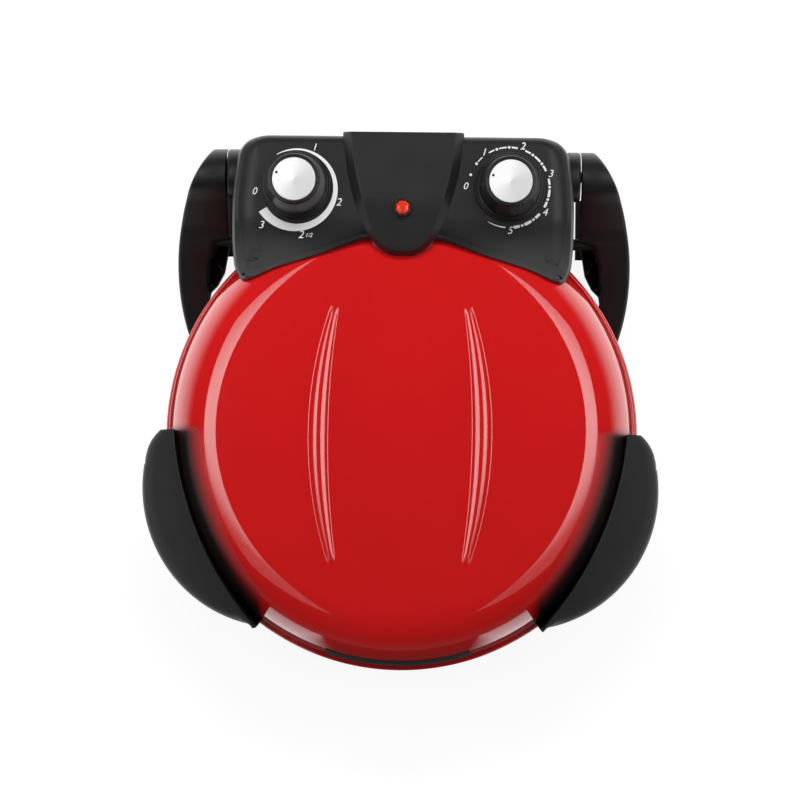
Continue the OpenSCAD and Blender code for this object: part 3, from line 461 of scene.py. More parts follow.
@dataclass(frozen=True)
class Lens(Finish):
    """Tinted clear plastic that glows a little."""

    glow: float = 0.2

    def paint(self, tree: Tree) -> None:
        """Lets light through and adds the glow at the middle."""
        tree.shader.inputs["Transmission Weight"].default_value = 0.25
        tree.shader.inputs["Emission Strength"].default_value = 1.0
        middle = tree.radius((0.0, 157.0 + AXIS_Y, 0.0)).ramp(5.0, 0.5)
        glow = tree.mix(middle, (0.12, 0.0, 0.0), (self.glow, self.glow * 0.12, 0.0))
        tree.feed(tree.shader.inputs["Emission Color"], glow)
        self.rough(tree, tree.noise(700.0, 2.0) * 0.1 + self.roughness)


RED_ENAMEL = Enamel("red_enamel", (0.60, 0.0092, 0.0096), 0.05, 0.0, 0.5)
BLACK_PLASTIC = MouldedPlastic("black_plastic", (0.0085, 0.0083, 0.0086), 0.42)
HOUSING_PLASTIC = HousingPlastic("housing_plastic", (0.0125, 0.0122, 0.0122), 0.4)
KNOB_PLASTIC = MouldedPlastic("knob_plastic", (0.009, 0.009, 0.0095), 0.3, grain=0.008)
BRIGHT_SHEET = PressedSheet("bright_sheet", (0.78, 0.78, 0.77), 0.28, 1.0)
STEEL = PlatedSteel("plated_steel", (0.6, 0.6, 0.6), 0.34, 1.0)
SHEATH = OxidisedTube("element_sheath", (0.13, 0.125, 0.13), 0.5, 0.75)
STONE = BakingStone("baking_stone", (0.66, 0.55, 0.4), 0.9)
STEATITE = Grainy("steatite", (0.78, 0.75, 0.68), 0.35)
FIBRE = Grainy("fibre_mat", (0.8, 0.79, 0.75), 0.95, per_metre=350.0, depth=0.6)
PALE_PLASTIC = Grainy("pale_plastic", (0.62, 0.61, 0.57), 0.45)
PRINT = Grainy("dial_print", (0.8, 0.8, 0.8), 0.55, depth=0.005, spread=0.93)
RUBBER = Grainy("rubber", (0.018, 0.018, 0.018), 0.75, depth=0.05)
COPPER = Grainy("copper_tube", (0.72, 0.34, 0.2), 0.3, 1.0, depth=0.01)
BELL_METAL = Grainy("bell_metal", (0.76, 0.62, 0.36), 0.3, 1.0, depth=0.01)
TRIM = Grainy("trim_plastic", (0.03, 0.03, 0.029), 0.3, 0.0, 0.3, depth=0.008)
RED_LENS = Lens("red_lens", (0.62, 0.022, 0.006), 0.12, 0.0, 0.5)
NEON_GLASS = Grainy("neon_glass", (0.8, 0.7, 0.6), 0.1, depth=0.004)


# ---- Meshes ----


def bend(corners: Sequence[Sequence[float]], radii: object, steps: int = 6,
         closed: bool = False) -> np.ndarray:
    """Rounds the corners of an outline.

    Each corner becomes the curve (1-t)^2 a + 2t(1-t) c + t^2 b between the points a and b
    that lie the radius before and after the corner c. A radius of 0 keeps the corner sharp.

    Args:
        corners: Corners in order, two numbers each.
        radii: One distance for all corners, or one for each.
        steps: Points along each curve.
        closed: Whether the last corner joins the first.

    Returns:
        The rounded outline, two columns.
    """
    points = np.asarray(corners, float)
    reach = np.broadcast_to(np.asarray(radii, float), len(points)).copy()
    if not closed:
        reach[[0, -1]] = 0.0
    before = np.roll(points, 1, 0) - points
    after = np.roll(points, -1, 0) - points
    length_before = np.linalg.norm(before, axis=1)
    length_after = np.linalg.norm(after, axis=1)
    reach = np.minimum(reach, 0.49 * np.minimum(length_before, length_after))
    start = points + before * (reach / length_before)[:, None]
    end = points + after * (reach / length_after)[:, None]
    t = np.linspace(0, 1, steps)[None, :, None]
    arcs = (1 - t) ** 2 * start[:, None] + 2 * t * (1 - t) * points[:, None] + t**2 * end[:, None]
    outline = arcs.reshape(-1, 2)
    keep = np.linalg.norm(np.diff(outline, axis=0), axis=1) > 1e-6
    return outline[np.concatenate([[True], keep])]


def arc(centre: Sequence[float], radius: float, start: float, end: float, steps: int) -> np.ndarray:
    """Gives points on a circle between two bearings in degrees."""
    angle = np.radians(np.linspace(start, end, steps))
    return np.stack([centre[0] + radius * np.cos(angle), centre[1] + radius * np.sin(angle)], 1)


def evenly(outline: np.ndarray, count: int, closed: bool) -> np.ndarray:
    """Places points at equal distances along an outline."""
    path = np.vstack([outline, outline[:1]]) if closed else outline
    along = np.concatenate([[0], np.cumsum(np.linalg.norm(np.diff(path, axis=0), axis=1))])
    at = np.linspace(0, along[-1], count, endpoint=not closed)
    return np.stack([np.interp(at, along, path[:, axis]) for axis in range(path.shape[1])], 1)


def turned(profile: np.ndarray, angle: np.ndarray) -> np.ndarray:
    """Places a profile of radius and height at each bearing, given in radians."""
    radius, height = profile[:, 0][None], profile[:, 1][None]
    along = angle[:, None]
    return np.stack([radius * np.cos(along), radius * np.sin(along), height + 0 * along], -1)


def spun(profile: np.ndarray, count: int, start: float = 0.0, end: float = 360.0) -> np.ndarray:
    """Turns a profile of radius and height about the axis.

    Args:
        profile: Radius and height of each point.
        count: Number of bearings.
        start: First bearing in degrees.
        end: Last bearing in degrees; a full turn leaves it out.

    Returns:
        Points [bearing, profile, 3].
    """
    full = end - start >= 360.0
    return turned(profile, np.radians(np.linspace(start, end, count, endpoint=not full)))


def capped(rows: np.ndarray) -> np.ndarray:
    """Closes both ends of a run of closed sections by drawing each to its middle."""
    ends = [np.broadcast_to(end.mean(1, keepdims=True), end.shape) for end in (rows[:1], rows[-1:])]
    return np.concatenate([ends[0], rows, ends[1]])


def inward_of(outline: np.ndarray) -> np.ndarray:
    """Gives the unit direction inwards at each point of a closed, anticlockwise outline."""
    tangent = np.roll(outline, -1, 0) - np.roll(outline, 1, 0)
    tangent /= np.linalg.norm(tangent, axis=1)[:, None]
    return np.stack([-tangent[:, 1], tangent[:, 0]], 1)


def level_sheet(across: np.ndarray, along: np.ndarray, height: float) -> "Shape":
    """Makes a level rectangle between two numbers across and two along."""
    corners = np.stack(np.meshgrid(across, along, indexing="ij"), -1)
    return Shape().sheet(np.concatenate([corners, np.full((2, 2, 1), height)], 2))


def linked(name: str, data: bpy.types.ID) -> bpy.types.Object:
    """Makes an object and puts it in the scene."""
    thing = bpy.data.objects.new(name, data)
    bpy.context.scene.collection.objects.link(thing)
    return thing


class Shape:
    """Gathers sheets of quads and makes them one piece."""

    def __init__(self) -> None:
        """Starts with no points."""
        self.points: list[np.ndarray] = []
        self.quads: list[np.ndarray] = []
        self.count = 0

    def sheet(self, points: np.ndarray, ring_u: bool = False, ring_v: bool = False) -> "Shape":
        """Adds quads over points[u, v].

        Args:
            points: Places in millimetres.
            ring_u: Whether the last row joins the first.
            ring_v: Whether the last column joins the first.

        Returns:
            This shape.
        """
        rows, columns = points.shape[:2]
        index = np.arange(rows * columns).reshape(rows, columns) + self.count
        index = np.vstack([index, index[:1]]) if ring_u else index
        index = np.hstack([index, index[:, :1]]) if ring_v else index
        corners = [index[:-1, :-1], index[1:, :-1], index[1:, 1:], index[:-1, 1:]]
        self.points.append(points.reshape(-1, 3))
        self.quads.append(np.stack(corners, -1).reshape(-1, 4))
        self.count += rows * columns
        return self

    def piece(self, name: str, sharp: float = 40.0, side: Side = Side.RIGHT) -> bpy.types.Object:
        """Makes the mesh, with doubles merged and faces turned outwards.

        Args:
            name: Name of the piece.
            sharp: Angle in degrees above which an edge stays sharp.
            side: The left side gets the mirror image.

        Returns:
            The object, at the origin.
        """
        places = np.concatenate(self.points) * (side.value, 1, 1)
        places = (places + (0, AXIS_Y, 0)) * MILLIMETRE
        mesh = bpy.data.meshes.new(name)
        mesh.from_pydata(places.tolist(), [], np.concatenate(self.quads).tolist())
        work = bmesh.new()
        work.from_mesh(mesh)
        bmesh.ops.remove_doubles(work, verts=work.verts, dist=1e-6)
        bmesh.ops.dissolve_degenerate(work, edges=work.edges, dist=1e-7)
        bmesh.ops.recalc_face_normals(work, faces=work.faces)
        work.to_mesh(mesh)
        work.free()
        mesh.polygons.foreach_set("use_smooth", [True] * len(mesh.polygons))
        mesh.set_sharp_from_angle(angle=math.radians(sharp))
        return linked(name, mesh)


def fit(thing: bpy.types.Object, body: str, finish: Finish, slot: str, *nodes: str) -> None:
    """Dresses a piece, fixes it to a body and hides the CAD nodes that it replaces.

    Args:
        thing: The piece.
        body: The body that it rides on.
        finish: Its finish.
        slot: The record's material slot; not used.
        nodes: CAD nodes that it replaces.
    """
    thing.data.materials.clear()
    thing.data.materials.append(finish.material())
    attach(thing, body)
    if nodes:
        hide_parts(*nodes)
    LOG.info("%s rides on %s", thing.name, body)


def lid_height(radius: np.ndarray) -> np.ndarray:
    """Height of the lid's outside: a parabola over the crown that runs smoothly into a circle."""
    edge = SHOULDER_Z - SHOULDER_R * (1 - math.cos(CROWN_TILT))
    crown = edge + CROWN_RISE * (1 - (radius / CROWN_R) ** 2)
    drop = np.clip(SHOULDER_R**2 - (radius - SHOULDER_C[0]) ** 2, 0, None)
    return np.where(radius < CROWN_R, crown, SHOULDER_C[1] + np.sqrt(drop))


def ramp(value: np.ndarray, low: float, high: float) -> np.ndarray:
    """Smooth step from 0 at low to 1 at high."""
    t = np.clip((value - low) / (high - low), 0, 1)
    return t * t * (3 - 2 * t)


# ---- Lid ----


@dataclass
class Lid:
    """Domed enamel lid with a rolled rim and two groups of pressed flutes."""

    bead_r: float = 2.4
    flute_middle_y: float = -3.4
    flute_half: float = 91.0

    def flutes(self, x: np.ndarray, y: np.ndarray) -> np.ndarray:
        """Height of the pressed flutes: on each side a flat-topped rib between two arcs.

        Args:
            x: Distance from the middle.
            y: Distance from the bowl's axis.

        Returns:
            The height to add to the crown.
        """
        along = y - self.flute_middle_y
        inner = self.bow(along, 6.4) + 44.4
        outer = self.bow(along, 15.2) + 50.6
        width = outer - inner
        scale = width / 15.0
        edge = np.minimum(np.abs(x) - inner, outer - np.abs(x)) / scale
        place = np.linspace(0, 7.5, 151)
        steepness = np.interp(place, [0, 0.2, 0.7, 0.95, 2.85, 3.15, 5.95, 6.25, 6.6],
                              [0, 5, 17, 25, 25, 19, 10.5, 5, 0])
        climb = np.cumsum(np.tan(np.radians(steepness))) * place[1]
        rise = np.interp(edge, place, climb - climb[0]) * scale
        end = np.clip((self.flute_half - np.abs(along)) / 7.0, 0, 1)
        return np.where(edge > 0, rise, 0.0) * np.sqrt(end * (2 - end))

    def bow(self, along: np.ndarray, rise: float) -> np.ndarray:
        """Offset of an arc over the flutes' length with the given rise."""
        radius = (self.flute_half**2 + rise**2) / (2 * rise)
        return np.sqrt(np.clip(radius**2 - along**2, 0, None)) - (radius - rise)

    def crown(self) -> tuple[np.ndarray, np.ndarray]:
        """Draws the crown over lines that are close together across the flutes.

        Returns:
            Points [line, along, 3], and the bearings of its edge once round.
        """
        coarse = CROWN_R * np.cos(np.radians(np.linspace(0, 180, 151)))
        lines = np.arange(44.0, 68.0, 0.22)
        fine = np.concatenate([lines, -lines])
        clear = np.abs(np.abs(coarse) - 56.0) > 12.4
        x = np.sort(np.concatenate([coarse[clear], fine]))[::-1]
        along = np.linspace(-1, 1, 128)
        half = np.sqrt(np.clip(CROWN_R**2 - x**2, 0, None))
        y = half[:, None] * along[None]
        across = np.broadcast_to(x[:, None], y.shape)
        height = lid_height(np.hypot(across, y)) + self.flutes(across, y)
        upper = np.arctan2(half, x)
        bearings = np.concatenate([upper, -upper[-2:0:-1]])
        return np.stack([across, y, height], -1), bearings

    def shell(self) -> None:
        """Builds the lid: outside, rolled bead and inside in one closed sheet."""
        bead = (RIM_R - self.bead_r, LID_RIM_Z + self.bead_r)
        crown, bearings = self.crown()
        start = 90 - math.degrees(CROWN_TILT)
        shoulder = arc(SHOULDER_C, SHOULDER_R, start, 0, 34)
        shoulder[0] = CROWN_R, lid_height(np.array(CROWN_R))
        root = [[LID_WALL_R, 96.0], [LID_WALL_R + 0.1, 94.8], [LID_WALL_R + 0.7, 94.2]]
        rolled = arc(bead, self.bead_r, 100, -165, 20)
        inner_foot = [[LID_WALL_R - SHEET, 93.4]]
        inner_shoulder = arc(SHOULDER_C, SHOULDER_R - SHEET, 0, 90, 9)
        inner_radii = np.linspace(SHOULDER_C[0] - 8, 0, 5)
        inner = np.stack([inner_radii, lid_height(inner_radii) - SHEET], 1)
        profile = np.vstack([shoulder, root, rolled, inner_foot, inner_shoulder, inner])
        shape = Shape().sheet(crown).sheet(turned(profile, bearings), ring_u=True)
        fit(shape.piece("enamel_lid", sharp=50.0), "lid", RED_ENAMEL, "red_enamel", "lid_shell")

    def strip(self) -> None:
        """Plain strip that lies on the front of the lid's shoulder."""
        outer = arc(SHOULDER_C, SHOULDER_R + 0.85, 3, 23, 14)
        inner = arc(SHOULDER_C, SHOULDER_R + 0.1, 24, 2, 14)
        section = np.vstack([outer, inner])
        thing = Shape().sheet(capped(spun(section, 81, 251.8, 288.2)), ring_v=True)
        fit(thing.piece("front_strip"), "lid", TRIM, "trim_plastic", "front_trim_strip")

    def reflector(self) -> None:
        """Dish inside the lid, with a flange that reaches the lid's wall."""
        top = SHOULDER_Z - 13
        bend_c = (132.5, top - 26)
        outer = np.vstack([[[166.6, 95.5], [158.5, 95.5]], arc(bend_c, 26, 0, 90, 14), [[0, top]]])
        inner = np.vstack([[[0, top - 1]], arc(bend_c, 25, 90, 0, 14), [[157.5, 94.5], [166.6, 94.5]]])
        thing = Shape().sheet(spun(np.vstack([outer, inner]), 240), ring_u=True, ring_v=True)
        fit(thing.piece("lid_dish", 30.0), "lid", BRIGHT_SHEET, "bright_sheet", "lid_reflector")

    def build(self) -> None:
        """Builds the lid's pieces."""
        self.shell()
        self.strip()
        self.reflector()


# ---- Bowl ----


@dataclass
class Bowl:
    """Enamelled bowl, its reflector, the baking stone and the two elements."""

    floor_r: float = 118.0
    bend_r: float = 40.0
    wall_r: float = 166.0
    bead_r: float = 2.2

    def shell(self) -> None:
        """Builds the bowl: floor, bend, wall and bead in one closed sheet."""
        centre = (self.floor_r, BOWL_FLOOR_Z + self.bend_r)
        bead = (RIM_R - 1.3 - self.bead_r, BOWL_RIM_Z - self.bead_r)
        floor = np.stack([np.linspace(0, self.floor_r, 10)[:-1], np.full(9, BOWL_FLOOR_Z)], 1)
        wall = [[self.wall_r, 82.5], [self.wall_r + 0.5, 84.0]]
        outer = [floor, arc(centre, self.bend_r, -90, -10, 20), wall]
        rolled = arc(bead, self.bead_r, -110, 165, 22)
        inner = [[[self.wall_r - SHEET, 84.5]], arc(centre, self.bend_r - SHEET, -10, -90, 14)]
        profile = np.vstack([*outer, rolled, *inner, floor[::-1] + (0, SHEET)])
        thing = Shape().sheet(spun(profile, 360), ring_u=True)
        fit(thing.piece("enamel_bowl", 50.0), "base", RED_ENAMEL, "red_enamel", "base_shell")

    def reflector(self) -> None:
        """Dish under the stone, with the flange that hangs on the bowl's wall."""
        z = BOWL_FLOOR_Z + 9
        bend_c = (self.floor_r - 4, z + 34)
        flange = [[158.5, 66], [158.5, 81], [164.3, 81], [164.3, 82]]
        outer = [[[0, z]], arc(bend_c, 34, -90, -12, 12), flange]
        inner = [[[157.5, 82], [157.5, 66]], arc(bend_c, 33, -12, -90, 12), [[0, z + 1]]]
        thing = Shape().sheet(spun(np.vstack([*outer, *inner]), 240), ring_u=True)
        fit(thing.piece("bowl_dish", 30.0), "base", BRIGHT_SHEET, "bright_sheet", "base_reflector")

    def stone(self) -> None:
        """Round stone with softened edges and a faint hollow of use on its top."""
        rim = bend([[150, 72], [155, 72], [155, 84], [150, 84]], [0, 1.2, 1.5, 0], 6)
        steps = np.linspace(148, 0, 24)
        top = np.stack([steps, 84 - 0.15 * ramp(150 - steps, 0, 60)], 1)
        bottom = np.stack([steps[::-1], np.full(24, 72.0)], 1)
        thing = Shape().sheet(spun(np.vstack([bottom, rim, top]), 240), ring_u=True)
        fit(thing.piece("round_stone"), "base", STONE, "stone", "baking_stone")

    @staticmethod
    def tube_path(turn_r: float = 108.0, half: float = 20.0, bend_r: float = 10.0) -> np.ndarray:
        """Centre line of an element: a ring whose ends turn outwards to the back.

        Args:
            turn_r: Radius of the ring.
            half: Half of the distance between the straight ends.
            bend_r: Radius of the bends into them.

        Returns:
            Points in plan, from the left end round the front to the right end.
        """
        turn = math.degrees(math.acos((half + bend_r) / (turn_r + bend_r)))
        bend_y = (turn_r + bend_r) * math.sin(math.radians(turn))
        ring = arc((0, 0), turn_r, 180 - turn, 360 + turn, 160)
        right = arc((half + bend_r, bend_y), bend_r, 180 + turn, 180, 12)[1:]
        straight = np.stack([np.full(8, half), np.linspace(bend_y + 4, LID_WALL_R + 4, 8)], 1)
        end = np.vstack([right, straight])
        return np.vstack([end[::-1] * (-1, 1), ring, end])

    def element(self, name: str, node: str, body: str, z: float) -> None:
        """Builds an element's tube along its centre line."""
        path = self.tube_path()
        along = np.gradient(path, axis=0)
        along /= np.linalg.norm(along, axis=1)[:, None]
        across = np.stack([-along[:, 1], along[:, 0]], 1)
        angle = np.linspace(0, 2 * np.pi, 16, endpoint=False)
        flat = path[:, None] + 3.3 * np.cos(angle)[None, :, None] * across[:, None]
        height = z + 3.3 * np.sin(angle)[None] + np.zeros((len(path), 1))
        points = np.concatenate([flat, height[..., None]], 2)
        fit(Shape().sheet(capped(points), ring_v=True).piece(name), body, SHEATH, "element_sheath", node)

    def build(self) -> None:
        """Builds the bowl's pieces."""
        self.shell()
        self.reflector()
        self.stone()
        self.element("lower_tube", "lower_element", "base", 52.0)
        self.element("upper_tube", "upper_element", "lid", 121.0)


# ---- Housing and shield ----


def mound(outline: np.ndarray, rows: Sequence[tuple], top: Curve, spine: tuple[float, float],
          square_back: bool = False) -> np.ndarray:
    """Draws a closed outline inwards over a run of rows, then fills the top to a spine.

    A row is an inset from the outline and a height. The inset is a number, one for each
    point, or one along X and one along Y for each point; the height is a number to take off
    the top, or an array of heights.

    Args:
        outline: Closed outline in plan, counted anticlockwise.
        rows: Insets and heights.
        top: Height of the top over a place in plan.
        spine: Half length and y of the line in the middle, along X.
        square_back: Whether the rear edge keeps inside the bevels beside it.

    Returns:
        Points [row, outline, 3].
    """
    inward = inward_of(outline)
    sheets = []
    for inset, height in rows:
        scale = inset if np.ndim(inset) == 2 else np.broadcast_to(inset, len(outline))[:, None]
        plan = outline + inward * scale
        if square_back:
            back = (outline[:, 1] > outline[:, 1].max() - 1.8) & (np.abs(inward[:, 0]) < 0.98)
            limit = np.abs(outline[:, 0]).max() - scale[:, 0].max() - 0.3
            plan[:, 0] = np.where(back, np.clip(plan[:, 0], -limit, limit), plan[:, 0])
        level = height if isinstance(height, np.ndarray) else top(plan[:, 0], plan[:, 1]) - height
        sheets.append(np.column_stack([plan, level]))
    edge = sheets[-1][:, :2]
    middle_x = np.clip(edge[:, 0] * 0.8, -spine[0], spine[0])
    middle = np.column_stack([middle_x, np.full(len(edge), spine[1])])
    for t in np.linspace(0, 1, 13)[1:]:
        plan = edge * (1 - t) + middle * t
        sheets.append(np.column_stack([plan, top(plan[:, 0], plan[:, 1])]))
    return np.stack(sheets)


@dataclass
class Housing:
    """Moulded control housing with its hinge bosses, and the raised shield with its lamp."""

    wall: float = 2.5
    edge_r: float = 7.0
    slope: float = 0.3545
    slope_y: float = 150.0
    lamp_y: float = 157.0

    def panel(self, x: np.ndarray, y: np.ndarray) -> np.ndarray:
        """Height of the panel: level, then falling towards the front past a soft crease."""
        ahead = self.slope_y - y
        return PANEL_Z - self.slope * (np.sqrt(ahead**2 + 5**2) + ahead) / 2

    def outline(self) -> np.ndarray:
        """Plan of the housing, anticlockwise from the middle of its front."""
        right = [[27, 136], [40, 132], [58, 125.5], [92, 115.5], [108, 108], [115.5, 106], [121, 115],
                 [122.5, 131], [122.5, 170], [118.5, 199], [112, 206.8], [101, 210]]
        radii = [6, 8, 12, 12, 4, 4, 5, 8, 12, 9, 6, 8]
        left = [[-x, y] for x, y in reversed(right)]
        return evenly(bend(right + left, radii + radii[::-1], 8, True), 420, True)

    def body(self) -> None:
        """Builds the housing: outside down to the lid, and its inside."""
        plan = self.outline()
        floor = np.maximum(HOUSING_Z, lid_height(np.hypot(*plan.T)) + SEATING_GAP)
        front = ramp(-plan[:, 1], -150, -125) * (1 - ramp(np.abs(plan[:, 0]), 104, 121))
        beside = ramp(np.abs(plan[:, 0]), 96, 121) * (1 - front)
        round_r = self.edge_r * (1 - front) + 0.9 * front + 4.5 * beside
        inset = np.column_stack([round_r + 5.5 * beside, round_r])
        angles = np.radians(np.linspace(0, 90, 12))
        rows = [(0.0, floor), (0.0, np.maximum(floor, self.panel(*plan.T) - round_r - 6))]
        rows += [(inset * (1 - math.cos(a)), self.rounded(plan, round_r, a, floor)) for a in angles]
        outer = mound(plan, rows, self.panel, (92.0, 172.0))
        inner = outer[len(rows):] - (0, 0, self.wall)
        wall_plan = plan + inward_of(plan) * self.wall
        inner_floor = np.maximum(HOUSING_Z, lid_height(np.hypot(*wall_plan.T)) + SEATING_GAP)
        inner_top = np.maximum(inner_floor + 0.2, outer[len(rows), :, 2] - self.wall - 1.0)
        sheets = [np.column_stack([wall_plan, level]) for level in (inner_top, inner_floor)]
        points = np.concatenate([inner[::-1], np.stack(sheets), outer])
        thing = Shape().sheet(points, ring_v=True).piece("housing_body", 32.0)
        fit(thing, "lid", HOUSING_PLASTIC, "black_plastic", "control_housing")

    def rounded(self, plan: np.ndarray, radius: np.ndarray, angle: float, floor: np.ndarray) -> np.ndarray:
        """Height of the rounded edge at an angle up its quarter circle."""
        level = self.panel(plan[:, 0], plan[:, 1]) - radius * (1 - math.sin(angle))
        return np.maximum(level, floor)

    def bosses(self) -> None:
        """Round hinge bosses on both ends of the housing."""
        middle = np.array([187.0, HINGE_Z])
        round_edge = evenly(arc(middle, 18.0, 0, 357, 120), 120, True) - middle
        stations = [(119.0, 1.0), (126.2, 1.0), (127.2, 0.985), (127.9, 0.93), (128.0, 0.6)]
        rings = [np.column_stack([np.full(120, x), middle + round_edge * grow]) for x, grow in stations]
        for side in Side:
            thing = Shape().sheet(capped(np.stack(rings)), ring_v=True)
            piece = thing.piece(f"hinge_boss_{side.name.lower()}", 40.0, side)
            fit(piece, "lid", BLACK_PLASTIC, "black_plastic")

    def shield_top(self, x: np.ndarray, y: np.ndarray) -> np.ndarray:
        """Height of the shield: level behind, falling to its tip in front."""
        ahead = 163.0 - y
        return PANEL_Z + 6.0 - 0.255 * (np.sqrt(ahead**2 + 3**2) + ahead) / 2

    def shield(self) -> None:
        """Raised shield with a bevel all round, wide at the sides and narrow at the tip."""
        right = [[7, 124.6], [14, 127.6], [20, 132.4], [25.4, 139.6],
                 [32.6, 155], [38, 173], [41.6, 192], [43.4, 212]]
        left = [[-x, y] for x, y in reversed(right)]
        radii = [5, 5, 5, 6, 10, 10, 10, 1.5]
        plan = evenly(bend(right + left, radii + radii[::-1], 8, True), 360, True)
        low = self.panel(plan[:, 0], plan[:, 1]) - 1.0
        low = np.where(plan[:, 1] < 135, lid_height(np.hypot(*plan.T)) + 0.2, low)
        low = np.where(plan[:, 1] > 210.5, PANEL_Z - 20, low)
        foot = np.maximum(low, self.panel(plan[:, 0], plan[:, 1]) - 0.2)
        sides = 2.4 + 3.6 * ramp(plan[:, 1], 126, 160)
        width = np.column_stack([sides, np.where(plan[:, 1] > 200, 0.9, sides)])
        rows = [(0.0, low), (0.0, foot), (width * 0.06, foot * 0.9 + self.shield_top(*plan.T) * 0.1)]
        rows += [(width * 0.92, 0.5), (width * 1.0, 0.08), (width * 1.12, 0.0)]
        outer = mound(plan, rows, self.shield_top, (22.0, 178.0), True)
        under = np.broadcast_to((0.0, 178.0, PANEL_Z - 1.0), outer[0].shape)
        base = outer[:1] * (0.97, 1.0, 1.0)
        points = np.concatenate([under[None], base, outer])
        thing = Shape().sheet(points, ring_v=True).piece("raised_shield", 24.0)
        fit(thing, "lid", HOUSING_PLASTIC, "black_plastic", "centre_fascia")

    def lamp(self) -> None:
        """Faceted lens in a dark bezel."""
        z = PANEL_Z + 6.0
        at = np.array([0.0, self.lamp_y, 0.0])
        collar = bend([[5.3, z - 1.2], [6.7, z - 1.2], [6.5, z + 0.9], [5.3, z + 0.9]], 0.35, 4, True)
        bezel = Shape().sheet(spun(collar, 64) + at, ring_u=True, ring_v=True).piece("lamp_bezel")
        fit(bezel, "lid", KNOB_PLASTIC, "black_plastic")
        dome = np.array([[0, z - 6], [5.2, z - 6], [5.25, z + 0.6],
                         [4.2, z + 1.5], [2.3, z + 2.1], [0, z + 2.3]])
        lens = Shape().sheet(spun(dome, 8) @ self.turned(22.5) + at, ring_u=True).piece("lamp_lens", 12.0)
        fit(lens, "lid", RED_LENS, "red_lens", "pilot_lens")

    @staticmethod
    def turned(degrees: float) -> np.ndarray:
        """Matrix that turns rows of points about the upright axis."""
        c, s = math.cos(math.radians(degrees)), math.sin(math.radians(degrees))
        return np.array([[c, s, 0.0], [-s, c, 0.0], [0.0, 0.0, 1.0]])

    def build(self) -> None:
        """Builds the housing's pieces."""
        self.body()
        self.bosses()
        self.shield()
        self.lamp()


# ---- Knobs and dials ----


@dataclass
class Knob:
    """Tapered knob with a stepped skirt and a spun metal disc with a pointer dot."""

    name: str
    x: float
    pointer: float
    y: float = 173.0

    def build(self) -> None:
        """Builds the knob, its disc and its dot."""
        z = PANEL_Z + 0.5
        at = np.array([self.x, self.y, z])
        corners = [[0, 0], [25, 0], [25, 2.6], [23.4, 3.2], [23.2, 4.6], [21.9, 5.0],
                   [21.6, 7.0], [18.6, 25.0], [18.0, 29.6], [15.6, 29.9], [15.5, 28.2], [0, 28.2]]
        radii = [0, 0.4, 1.0, 0.5, 0.6, 0.5, 1.6, 5, 1.2, 0.5, 0.2, 0]
        grip = Shape().sheet(spun(bend(corners, radii, 6), 128) + at, ring_u=True)
        fit(grip.piece(f"{self.name}_grip"), self.name, KNOB_PLASTIC, "black_plastic", self.name)
        rim = [[0, 28.2], [15.3, 28.2], [15.3, 29.55], [14.7, 29.85], [0, 29.55]]
        face = bend(rim, [0, 0.2, 0.3, 0.6, 0], 5)
        disc = Shape().sheet(spun(face, 128) + at, ring_u=True).piece(f"{self.name}_disc")
        finish = BrushedDisc(f"{self.name}_metal", (0.66, 0.66, 0.67), 0.42, 0.35, 0.0, self.x, self.y)
        fit(disc, self.name, finish, "knob_metal", f"{self.name}_cap")
        angle = math.radians(180.0 - self.pointer)
        spot = at + (13.1 * math.cos(angle), 13.1 * math.sin(angle), 0)
        dome = bend([[0, 29.5], [1.0, 29.5], [0.95, 29.97], [0, 30.0]], 0.1, 3)
        dot = Shape().sheet(spun(dome, 24) + spot, ring_u=True).piece(f"{self.name}_dot")
        fit(dot, self.name, KNOB_PLASTIC, "black_plastic")


